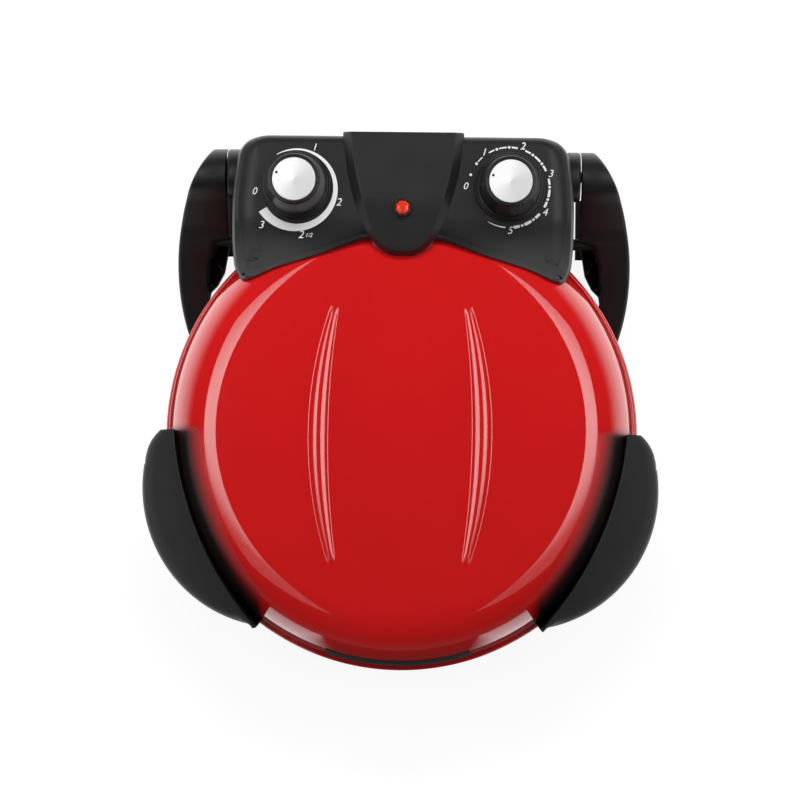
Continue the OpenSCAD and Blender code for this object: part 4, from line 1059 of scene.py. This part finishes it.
class Dial:
    """Printed marks around a knob, a film a tenth of a millimetre thick."""

    film_low: float = 0.02
    film_high: float = 0.12

    def __init__(self, name: str, x: float, y: float) -> None:
        """Starts the marks of one dial, about its centre."""
        self.name = name
        self.centre = np.array([x, y])
        self.shape = Shape()

    def band(self, radius: float, start: float, end: float, thin: float, thick: float) -> None:
        """Adds a line along the circle, clockwise, from thin to thick.

        Args:
            radius: Radius of its middle.
            start: First bearing in degrees, clockwise from the left.
            end: Last bearing.
            thin: Width at the start.
            thick: Width at the end.
        """
        angle = np.radians(180 - np.linspace(start, end, max(4, int(abs(end - start) / 2.5))))
        half = np.linspace(thin, thick, len(angle)) / 2
        low, high = PANEL_Z + self.film_low, PANEL_Z + self.film_high
        inner, outer = radius - half, radius + half
        rows = [
            np.column_stack([r * np.cos(angle), r * np.sin(angle), np.full(len(angle), z)])
            for r, z in ((inner, low), (outer, low), (outer, high), (inner, high))
        ]
        points = np.stack(rows, 1) + (*self.centre, 0)
        self.shape.sheet(capped(points), ring_v=True)

    def dot(self, radius: float, bearing: float, size: float) -> None:
        """Adds a round dot at a bearing, clockwise from the left."""
        angle = math.radians(180 - bearing)
        at = (*(self.centre + (radius * math.cos(angle), radius * math.sin(angle))), PANEL_Z)
        low, high = self.film_low, self.film_high
        film = np.array([[0, low], [size / 2, low], [size / 2, high], [0, high]])
        self.shape.sheet(spun(film, 20) + at, ring_u=True)

    def finish(self) -> None:
        """Makes the lines and dots one piece."""
        fit(self.shape.piece(f"{self.name}_marks"), "lid", PRINT, "light_plastic")

    def numbers(self, labels: Sequence[tuple[str, float, float, float]]) -> None:
        """Adds printed numbers.

        Args:
            labels: Text, place from the dial's centre, and height in millimetres.
        """
        work = bmesh.new()
        for text, x, y, height in labels:
            curve = bpy.data.curves.new("number", "FONT")
            curve.body, curve.size, curve.shear = text, height * 1.38 * MILLIMETRE, 0.28
            curve.align_x, curve.align_y = "CENTER", "CENTER"
            curve.extrude, curve.resolution_u = 0.00005, 6
            holder = linked("number", curve)
            graph = bpy.context.evaluated_depsgraph_get()
            mesh = bpy.data.meshes.new_from_object(holder.evaluated_get(graph))
            places = np.zeros(len(mesh.vertices) * 3)
            mesh.vertices.foreach_get("co", places)
            places = places.reshape(-1, 3)
            film_middle = PANEL_Z + (self.film_low + self.film_high) / 2
            move = np.array([self.centre[0] + x, self.centre[1] + y + AXIS_Y, film_middle])
            mesh.vertices.foreach_set("co", (places + move * MILLIMETRE).ravel())
            work.from_mesh(mesh)
            bpy.data.objects.remove(holder)
            bpy.data.curves.remove(curve)
            bpy.data.meshes.remove(mesh)
        mesh = bpy.data.meshes.new(f"{self.name}_numbers")
        bmesh.ops.remove_doubles(work, verts=work.verts, dist=1e-7)
        work.to_mesh(mesh)
        work.free()
        fit(linked(mesh.name, mesh), "lid", PRINT, "light_plastic")


def print_dials() -> None:
    """Prints the heat scale and the minute scale."""
    heat = Dial("heat_dial", -KNOB_X, 170.8)
    heat.band(28.1, 60, 327, 0.5, 6.6)
    heat.finish()
    heat.numbers([("0", -29.9, -2.4, 5.2), ("1", 12.6, 29.6, 5.2), ("2", 30.4, -9.8, 5.6),
                  ("2", 3.8, -33.4, 5.6), ("1/2", 9.4, -33.6, 3.0), ("3", -24.6, -26.6, 5.6)])
    minutes = Dial("minute_dial", 75.6, 173.0)
    step, radius = 17.9, 28.8
    for k in range(16):
        if k % 3:
            minutes.dot(radius, k * step, 1.9)
        if 1 < k < 15:
            width = 0.5 + 0.11 * k
            ends = (0.2 if k % 3 else 0.32, 0.8 if (k + 1) % 3 else 0.68)
            minutes.band(radius, (k + ends[0]) * step, (k + ends[1]) * step, width, width + 0.1)
    minutes.band(radius, 15.35 * step, 301, 0.9, 0.3)
    minutes.finish()
    spots = [(str(k), math.radians(180 - 3 * k * step)) for k in range(1, 6)]
    label_r = 31.0
    labels = [(text, label_r * math.cos(a), label_r * math.sin(a), 5.4) for text, a in spots]
    minutes.numbers([("0", -31.2, 0.6, 5.0), *labels])


# ---- Lid handles ----


@dataclass
class Handle:
    """Winged lid handle: a ridge, a facet that falls outwards and a hollow below."""

    outer_c: tuple[float, float] = (87.2, -42.2)
    outer_r: float = 99.2
    corner_c: tuple[float, float] = (153.8, -25.2)
    corner_r: float = 30.6
    ridge_c: tuple[float, float] = RIDGE_C
    ridge_r: float = 240.8
    ridge_z: float = 139.5
    fall: float = 0.62
    low_z: float = 101.5
    wall: float = 3.0

    @staticmethod
    def reach(bearing: np.ndarray, centre: tuple[float, float], radius: float) -> np.ndarray:
        """Distance along a bearing from the axis to a circle's far side."""
        along = centre[0] * np.cos(bearing) + centre[1] * np.sin(bearing)
        inside = along**2 - centre[0] ** 2 - centre[1] ** 2 + radius**2
        return along + np.sqrt(np.clip(inside, 0, None))

    def sections(self) -> np.ndarray:
        """Section at each bearing, as radius and height, from the rear end to the front tip.

        Returns:
            Points [bearing, section, 3].
        """
        bearing = np.radians(np.concatenate([np.linspace(-0.4, -8, 26)[:-1], np.linspace(-8, -54, 84)]))
        ridge = self.reach(bearing, self.ridge_c, self.ridge_r)
        outer = self.reach(bearing, self.outer_c, self.outer_r)
        corner = self.reach(bearing, self.corner_c, self.corner_r)
        behind = outer * np.sin(bearing) > self.corner_c[1]
        outer = np.where(behind, np.minimum(corner, outer), outer)
        outer = np.maximum(outer, ridge + 2.2)
        width = outer - ridge
        edge_z = self.ridge_z - self.fall * width
        bottom = np.minimum(self.low_z, edge_z - 4)
        inside = ridge < LID_WALL_R
        lid_at_ridge = np.where(inside, lid_height(np.minimum(ridge, LID_WALL_R)), 99.0)
        soft = np.minimum(2.6, width * 0.3)
        near = LID_WALL_R + 0.25
        lip = np.minimum(174.1, outer - 1.0)
        inner_x = np.where(width > 14, 176.5, np.minimum(outer - 1.5, 176.5))
        far_x = np.maximum(outer - self.wall, inner_x + 0.4)
        top, fall = self.ridge_z, self.fall
        ceiling = np.maximum(top - fall * (far_x - ridge) - 4.5, bottom + 0.4)
        inner_ceiling = np.maximum(np.minimum(top - fall * (inner_x - ridge) - 4.5, 124.0), ceiling)
        foot_z = np.full_like(ridge, 98.6)
        mid_r = (near + ridge) / 2
        mid_z = np.where(inside, lid_height(np.minimum(mid_r, LID_WALL_R)) + 0.25, 110.0)
        quarter_r = near * 0.82 + ridge * 0.18
        quarter_z = np.where(inside, lid_height(np.minimum(quarter_r, LID_WALL_R)) + 0.2, 104.0)
        section = [
            (near, foot_z), (near, foot_z + 4.0), (np.minimum(quarter_r, near), quarter_z),
            (np.minimum(mid_r, near), mid_z), (ridge - 0.1, lid_at_ridge + 0.25),
            (ridge - 0.2, top - 2.2), (ridge - 0.05, top - 0.9), (ridge + 0.35, top - 0.25),
            (ridge + 0.9, top - 0.28), (ridge + 1.5, top - 0.62),
            (ridge * 0.66 + outer * 0.34, top - fall * width * 0.34 + 0.25),
            (ridge * 0.33 + outer * 0.67, top - fall * width * 0.67 + 0.25),
            (outer - soft, edge_z + fall * soft),
            (outer - soft * 0.45, edge_z + fall * soft * 0.4 - 0.35),
            (outer - soft * 0.12, edge_z - 0.9), (outer, edge_z - 2.4), (outer, bottom + 1.2),
            (outer - 0.4, bottom + 0.3), (outer - 1.2, bottom), (far_x, bottom + 0.1),
            (far_x, ceiling), (inner_x, inner_ceiling),
            (inner_x, np.minimum(inner_ceiling - 0.2, foot_z + 2)),
            (lip, np.minimum(foot_z + 0.1, inner_ceiling - 0.4)), (lip, foot_z),
        ]
        radius = np.stack([np.broadcast_to(r, ridge.shape) for r, _ in section], 1)
        height = np.stack([np.broadcast_to(z, ridge.shape) for _, z in section], 1)
        angle = bearing[:, None]
        return np.stack([radius * np.cos(angle), radius * np.sin(angle), height], -1)

    def build(self) -> None:
        """Builds both handles."""
        points = capped(self.sections())
        for side in Side:
            word = side.name.lower()
            thing = Shape().sheet(points, ring_v=True).piece(f"winged_handle_{word}", 34.0, side)
            fit(thing, "lid", BLACK_PLASTIC, "black_plastic", f"lid_handle_{word}")


# ---- Hinge arms and feet ----


@dataclass
class HingeArm:
    """Crescent arm behind the bowl: round at the hinge, falling forwards to a low toe."""

    outer_c: tuple[float, float] = (21.5, 117.0)
    outer_r: float = 145.9
    eye_r: float = 18.0
    eye_y: float = 187.0

    def inner_x(self, y: np.ndarray, z: np.ndarray) -> np.ndarray:
        """Inner face: beside the housing, then round the gap, then against the bowl."""
        line = np.interp(y, [40, 70, 104, 119, 137, 139.5, 141.5, 143.5, 220],
                         [124, 139, 147.8, 146.2, 143.2, 142.0, 139.5, 128.6, 128.6])
        bowl_r = np.interp(z, [22, 26, 33, 44, 58, 70], [118, 137.5, 148, 157.5, 163.5, 166])
        bowl_r = np.where(z > 80, RIM_R + 1.5, bowl_r)
        return np.maximum(line, np.sqrt(np.clip(bowl_r**2 - y**2, 0, None)) + 0.6)

    def sections(self) -> np.ndarray:
        """Upright sections across the arm, from the back to the toe.

        Returns:
            Points [station, section, 3].
        """
        angle = np.radians(np.linspace(0.5, 90, 16))
        round_y = self.eye_y + self.eye_r * np.cos(angle)
        y = np.concatenate([round_y, np.linspace(round_y[-1] - 1.5, 144, 26), np.linspace(143.5, 136.5, 12),
                            np.linspace(135, 62, 48), [60.5, 59.2, 58.4]])
        eye_top = HINGE_Z + np.sqrt(np.clip(self.eye_r**2 - (y - self.eye_y) ** 2, 0, None))
        slope_top = np.interp(y, [57, 58.5, 61, 82, 100, 117, 150, 167.5, 174],
                              [37, 45, 50, 60, 70, 80, 104, 122, 130.5])
        top = np.where(y > self.eye_y, eye_top, np.where(y > 167, np.maximum(eye_top, slope_top), slope_top))
        low = np.interp(y, [57, 58, 104, 132, 134, 196, 205], [33, 44, 30, 6, 3, 3, 117.5])
        low = np.minimum(low, top - 0.4)
        outer = self.outer_c[0] + np.sqrt(self.outer_r**2 - (y - self.outer_c[1]) ** 2)
        inside = self.inner_x(y, top)
        inside_low = self.inner_x(y, low) + 6.4 * ramp(y, 140, 144)
        width = outer - inside
        soft = np.minimum(3.0, np.minimum(width * 0.25, (top - low) * 0.3))
        open_side = ramp(y, 146, 137)
        ledge = inside - open_side * np.minimum(3.2, width * 0.2)
        ledge = np.maximum(ledge, self.inner_x(y, top - 8))
        step_z = np.maximum(top - 5 - 9 * open_side, low + 0.2)
        section = [
            (inside_low, low), (np.maximum(ledge, inside_low), low + 0.1), (ledge, step_z),
            (inside + 0.4 * open_side, step_z), (inside + 0.4 * open_side, top - 1.4),
            (inside + 0.5, top - 0.4), (inside + 1.4, top), (outer - soft, top),
            (outer - soft * 0.45, top - soft * 0.14), (outer - soft * 0.12, top - soft * 0.5),
            (outer, top - soft * 1.15), (outer, low + 0.8), (outer - 0.9, low),
            (outer - 3.2, low), (outer - 3.2, np.maximum(top - soft - 3.4, low + 0.05)),
            (np.maximum(inside, inside_low) + 3.4, np.maximum(top - 5.0, low + 0.05)),
            (np.maximum(inside, inside_low) + 3.4, low + 0.02),
        ]
        across = np.stack([np.broadcast_to(x, y.shape) for x, _ in section], 1)
        height = np.stack([np.broadcast_to(z, y.shape) for _, z in section], 1)
        return np.stack([across, np.broadcast_to(y[:, None], across.shape), height], -1)

    def bar(self) -> np.ndarray:
        """Rounded bar from the tower inwards to the bowl."""
        corners = [[139.0, 72.2], [146.6, 72.2], [146.6, 84.0], [139.0, 84.0]]
        section = bend(corners, 2.6, 6, True)
        x = np.array([96.5, 97.0, 120.0, 140.0, 152.0])
        points = np.zeros((len(x), len(section), 3))
        points[..., 0] = x[:, None]
        points[..., 1:] = section[None]
        return points

    def pocket(self) -> Shape:
        """Dark web in the gap beside the bowl, with two thin slanting ribs above it."""
        plan = [[133.0, 147.0], [133.2, 143.0], [136.4, 124.0], [141.5, 114.0], [147.4, 108.0],
                [147.8, 112.0], [146.4, 119.0], [143.6, 137.0], [141.8, 143.0], [140.0, 147.0]]
        shape = Shape()
        ring = evenly(bend(plan, 0.5, 3, True), 120, True)
        levels = [34.0, 42.0]
        rows = [np.column_stack([ring, np.full(len(ring), z)]) for z in levels]
        shape.sheet(capped(np.stack(rows)), ring_v=True)
        for start, end in (((143.6, 131.5), (137.2, 124.5)), ((146.8, 114.5), (144.4, 111.8))):
            along = np.subtract(end, start) / np.hypot(*np.subtract(end, start))
            side = np.array([-along[1], along[0]]) * 0.45
            foot = np.array([start + side, start - side, end - side, end + side])
            rib = [np.column_stack([foot, np.full(4, z)]) for z in (41.5, 62.0)]
            shape.sheet(capped(np.stack(rib)), ring_v=True)
        return shape

    def build(self) -> None:
        """Builds both arms with their bars and pockets."""
        for side in Side:
            word = side.name.lower()
            arm = Shape().sheet(capped(self.sections()), ring_v=True)
            fit(arm.piece(f"crescent_arm_{word}", 34.0, side), "base", BLACK_PLASTIC, "black_plastic",
                f"hinge_arm_{word}")
            bar = Shape().sheet(capped(self.bar()), ring_v=True).piece(f"arm_bar_{word}", 40.0, side)
            fit(bar, "base", BLACK_PLASTIC, "black_plastic")
            pocket = self.pocket().piece(f"arm_pocket_{word}", 30.0, side)
            fit(pocket, "base", KNOB_PLASTIC, "black_plastic")


def build_feet() -> None:
    """Builds the two front feet with softened edges."""
    shape = Shape()
    corners = [[0, 3], [12, 3], [14.9, 21.8], [0, 21.8]]
    profile = bend(corners, [0, 1.5, 0.8, 0], 5)
    for bearing in (-52.0, -128.0):
        at = (108 * math.cos(math.radians(bearing)), 108 * math.sin(math.radians(bearing)), 0)
        shape.sheet(spun(profile, 48) + at, ring_u=True)
    fit(shape.piece("round_feet"), "base", BLACK_PLASTIC, "black_plastic", "front_feet")


NODE_FINISHES: dict[str, Finish] = {
    "stone_clips": STEEL, "lower_element_brackets": STEEL, "lower_element_terminals": STEATITE,
    "terminal_cover": STEEL, "arm_screws": STEEL, "hinge_pin_left": STEEL, "hinge_pin_right": STEEL,
    "pin_circlips": STEEL, "foot_pads": RUBBER, "foot_screws": STEEL, "lid_insulation": FIBRE,
    "upper_element_brackets": STEEL, "upper_element_terminals": STEATITE, "housing_cover": BLACK_PLASTIC,
    "cover_screws": STEEL, "housing_screws": STEEL, "hinge_bush_left": BELL_METAL,
    "hinge_bush_right": BELL_METAL, "pilot_lamp": NEON_GLASS, "thermostat": STEEL,
    "thermostat_bulb": COPPER, "timer": PALE_PLASTIC, "timer_bell": BELL_METAL,
    "terminal_block": STEATITE, "handle_bracket_left": STEEL, "handle_bracket_right": STEEL,
    "handle_screws": STEEL, "cord_gland": RUBBER, "thermostat_spindle": STEEL, "timer_spindle": STEEL,
}


def dress_nodes() -> None:
    """Gives each CAD node that stays its finish."""
    for name, finish in NODE_FINISHES.items():
        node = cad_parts[name]
        if not node.material_slots:
            node.data.materials.append(finish.material())
        for slot in node.material_slots:
            slot.material = finish.material()
        LOG.info("%s has %s", name, finish.name)


# ---- Studio ----


@dataclass
class Studio:
    """Camera almost overhead, a white floor and soft lights above both sides."""

    look_at: tuple[float, float, float] = (-0.00128, 0.00523, 0.092)
    distance: float = 1.9
    lens: float = 116.47
    off_front: float = 4.0
    off_right: float = 1.0
    roll: float = 0.75

    def camera(self) -> None:
        """Places the camera: off the vertical towards the front and the right, rolled a little."""
        back = Vector((math.tan(math.radians(self.off_right)), -math.tan(math.radians(self.off_front)), 1.0))
        back.normalize()
        up = (Vector((0, 1, 0)) - back * back.y).normalized()
        right = up.cross(back)
        roll = math.radians(self.roll)
        axis_x = right * math.cos(roll) + up * math.sin(roll)
        axis_y = up * math.cos(roll) - right * math.sin(roll)
        data = bpy.data.cameras.new("studio_camera")
        data.lens, data.sensor_width = self.lens, 36.0
        data.clip_start, data.clip_end = 0.05, 20.0
        camera = linked("studio_camera", data)
        turn = Matrix((axis_x, axis_y, back)).transposed().to_4x4()
        camera.matrix_world = Matrix.Translation(Vector(self.look_at) + back * self.distance) @ turn
        bpy.context.scene.camera = camera

    def softbox(self, side: Side, radiance: float) -> None:
        """Hangs a long glowing panel beside the camera, dimmer towards the front.

        Args:
            side: Which side of the oven it hangs over.
            radiance: How bright it looks at the back.
        """
        across = np.array([481.0, 1400.0]) * side.value
        along = np.array([-1150.0, 1000.0]) - AXIS_Y
        thing = level_sheet(across, along, 1900.0).piece(f"softbox_{side.name.lower()}")
        material = bpy.data.materials.new(thing.name)
        tree = Tree(material)
        _, y, _ = tree.xyz((0.0, 0.0, 0.0))
        level = y.ramp(-620.0, 150.0) * 0.95 * (y.ramp(950.0, 150.0) * 0.6 + 0.4) + 0.05
        tree.feed(tree.shader.inputs["Emission Color"], tree.mix(level, (0.0, 0.0, 0.0), (1.0, 1.0, 1.0)))
        tree.shader.inputs["Emission Strength"].default_value = radiance
        thing.data.materials.append(material)

    def fill(self, radiance: float, place: Colour, size: tuple[float, float], tilt: float) -> None:
        """Hangs a soft lamp that mirrors don't show.

        Args:
            radiance: How bright it is.
            place: Its middle, in metres.
            size: Its width and length, in metres.
            tilt: How far it leans forwards, in degrees.
        """
        data = bpy.data.lights.new("fill_lamp", "AREA")
        data.shape, data.size, data.size_y = "RECTANGLE", *size
        data.energy = radiance * math.pi * size[0] * size[1]
        lamp = linked("fill_lamp", data)
        lamp.location = place
        lamp.rotation_euler = (math.radians(tilt), 0, 0)
        lamp.visible_glossy = False

    def floor(self) -> None:
        """Lays a floor that the camera sees white; mirrors see it bright further out, with a painted shadow
        close around the oven.
        """
        span = np.array([-6.0, 6.0]) / MILLIMETRE
        floor = level_sheet(span, span, 0.0).piece("floor")
        material = bpy.data.materials.new("floor_white")
        tree = Tree(material)
        tree.shader.inputs["Base Color"].default_value = (0.86, 0.86, 0.86, 1)
        tree.shader.inputs["Roughness"].default_value = 0.9
        path = tree.node("ShaderNodeLightPath", {}, {})
        rays = [Value(tree, path.outputs[f"Is {kind} Ray"]) for kind in ("Camera", "Glossy", "Transmission")]
        mirrored = rays[1].math("MAXIMUM", rays[1], rays[2])
        x, y, _ = tree.xyz()
        far = tree.mix(tree.radius().ramp(350.0, 2500.0), (2.2, 2.2, 2.2), (1.6, 1.6, 1.6))
        aside = (x.math("ABSOLUTE", x) + y * 0.4).ramp(-30.0, 45.0)
        # painted shadow: mirrors see the floor nearly black within about 290 mm of the axis and in a wedge
        # in front, bright beyond
        ring = tree.mix(tree.radius().ramp(281.0, 297.0) * aside, (0.05, 0.05, 0.05), far)
        seen = tree.mix(mirrored, (1.12, 1.12, 1.12), ring)
        black = {"Base Color": (0, 0, 0, 1), "Specular IOR Level": 0.0,
                 "Emission Strength": 1.0, "Emission Color": seen}
        glow = tree.node("ShaderNodeBsdfPrincipled", {}, black)
        factor = mirrored.math("MAXIMUM", mirrored, rays[0] * 0.8)
        shaders = {0: factor, 1: tree.shader.outputs[0], 2: glow.outputs[0]}
        blend = tree.node("ShaderNodeMixShader", {}, shaders)
        tree.feed(tree.output.inputs["Surface"], blend.outputs[0])
        floor.data.materials.append(material)

    def room(self) -> None:
        """Sets a dark room that glows at the horizon, less towards the front."""
        world = bpy.data.worlds.new("room")
        bpy.context.scene.world = world
        tree = Tree(world)
        parts = tree.node("ShaderNodeSeparateXYZ", {}, {0: tree.place}).outputs
        y, z = Value(tree, parts[1]), Value(tree, parts[2])
        glow = z.ramp(0.45, -0.15) * (y.ramp(-0.8, -0.35) * 0.92 + 0.08) * 2.0 + 0.03
        camera = Value(tree, tree.node("ShaderNodeLightPath", {}, {}).outputs["Is Camera Ray"])
        tree.feed(tree.shader.inputs["Strength"], glow.math("MAXIMUM", glow, camera))
        tree.shader.inputs["Color"].default_value = (1, 1, 1, 1)

    def build(self) -> None:
        """Sets up camera, lights, floor and room."""
        self.camera()
        self.floor()
        self.room()
        for side in Side:
            self.softbox(side, 3.3)
        self.fill(18.0, (0.0, 1.1, 1.7), (1.4, 0.8), 35.0)
        bpy.context.scene.view_settings.view_transform = "Standard"


def main() -> None:
    """Builds the studio and the oven, in order."""
    logging.basicConfig(level=logging.INFO, format="%(message)s")
    Studio().build()
    Lid().build()
    Bowl().build()
    Housing().build()
    Knob("temp_knob", -KNOB_X, 20.5).build()
    Knob("timer_knob", KNOB_X, 17.5).build()
    print_dials()
    Handle().build()
    HingeArm().build()
    build_feet()
    dress_nodes()


if __name__ == "__main__":
    main()
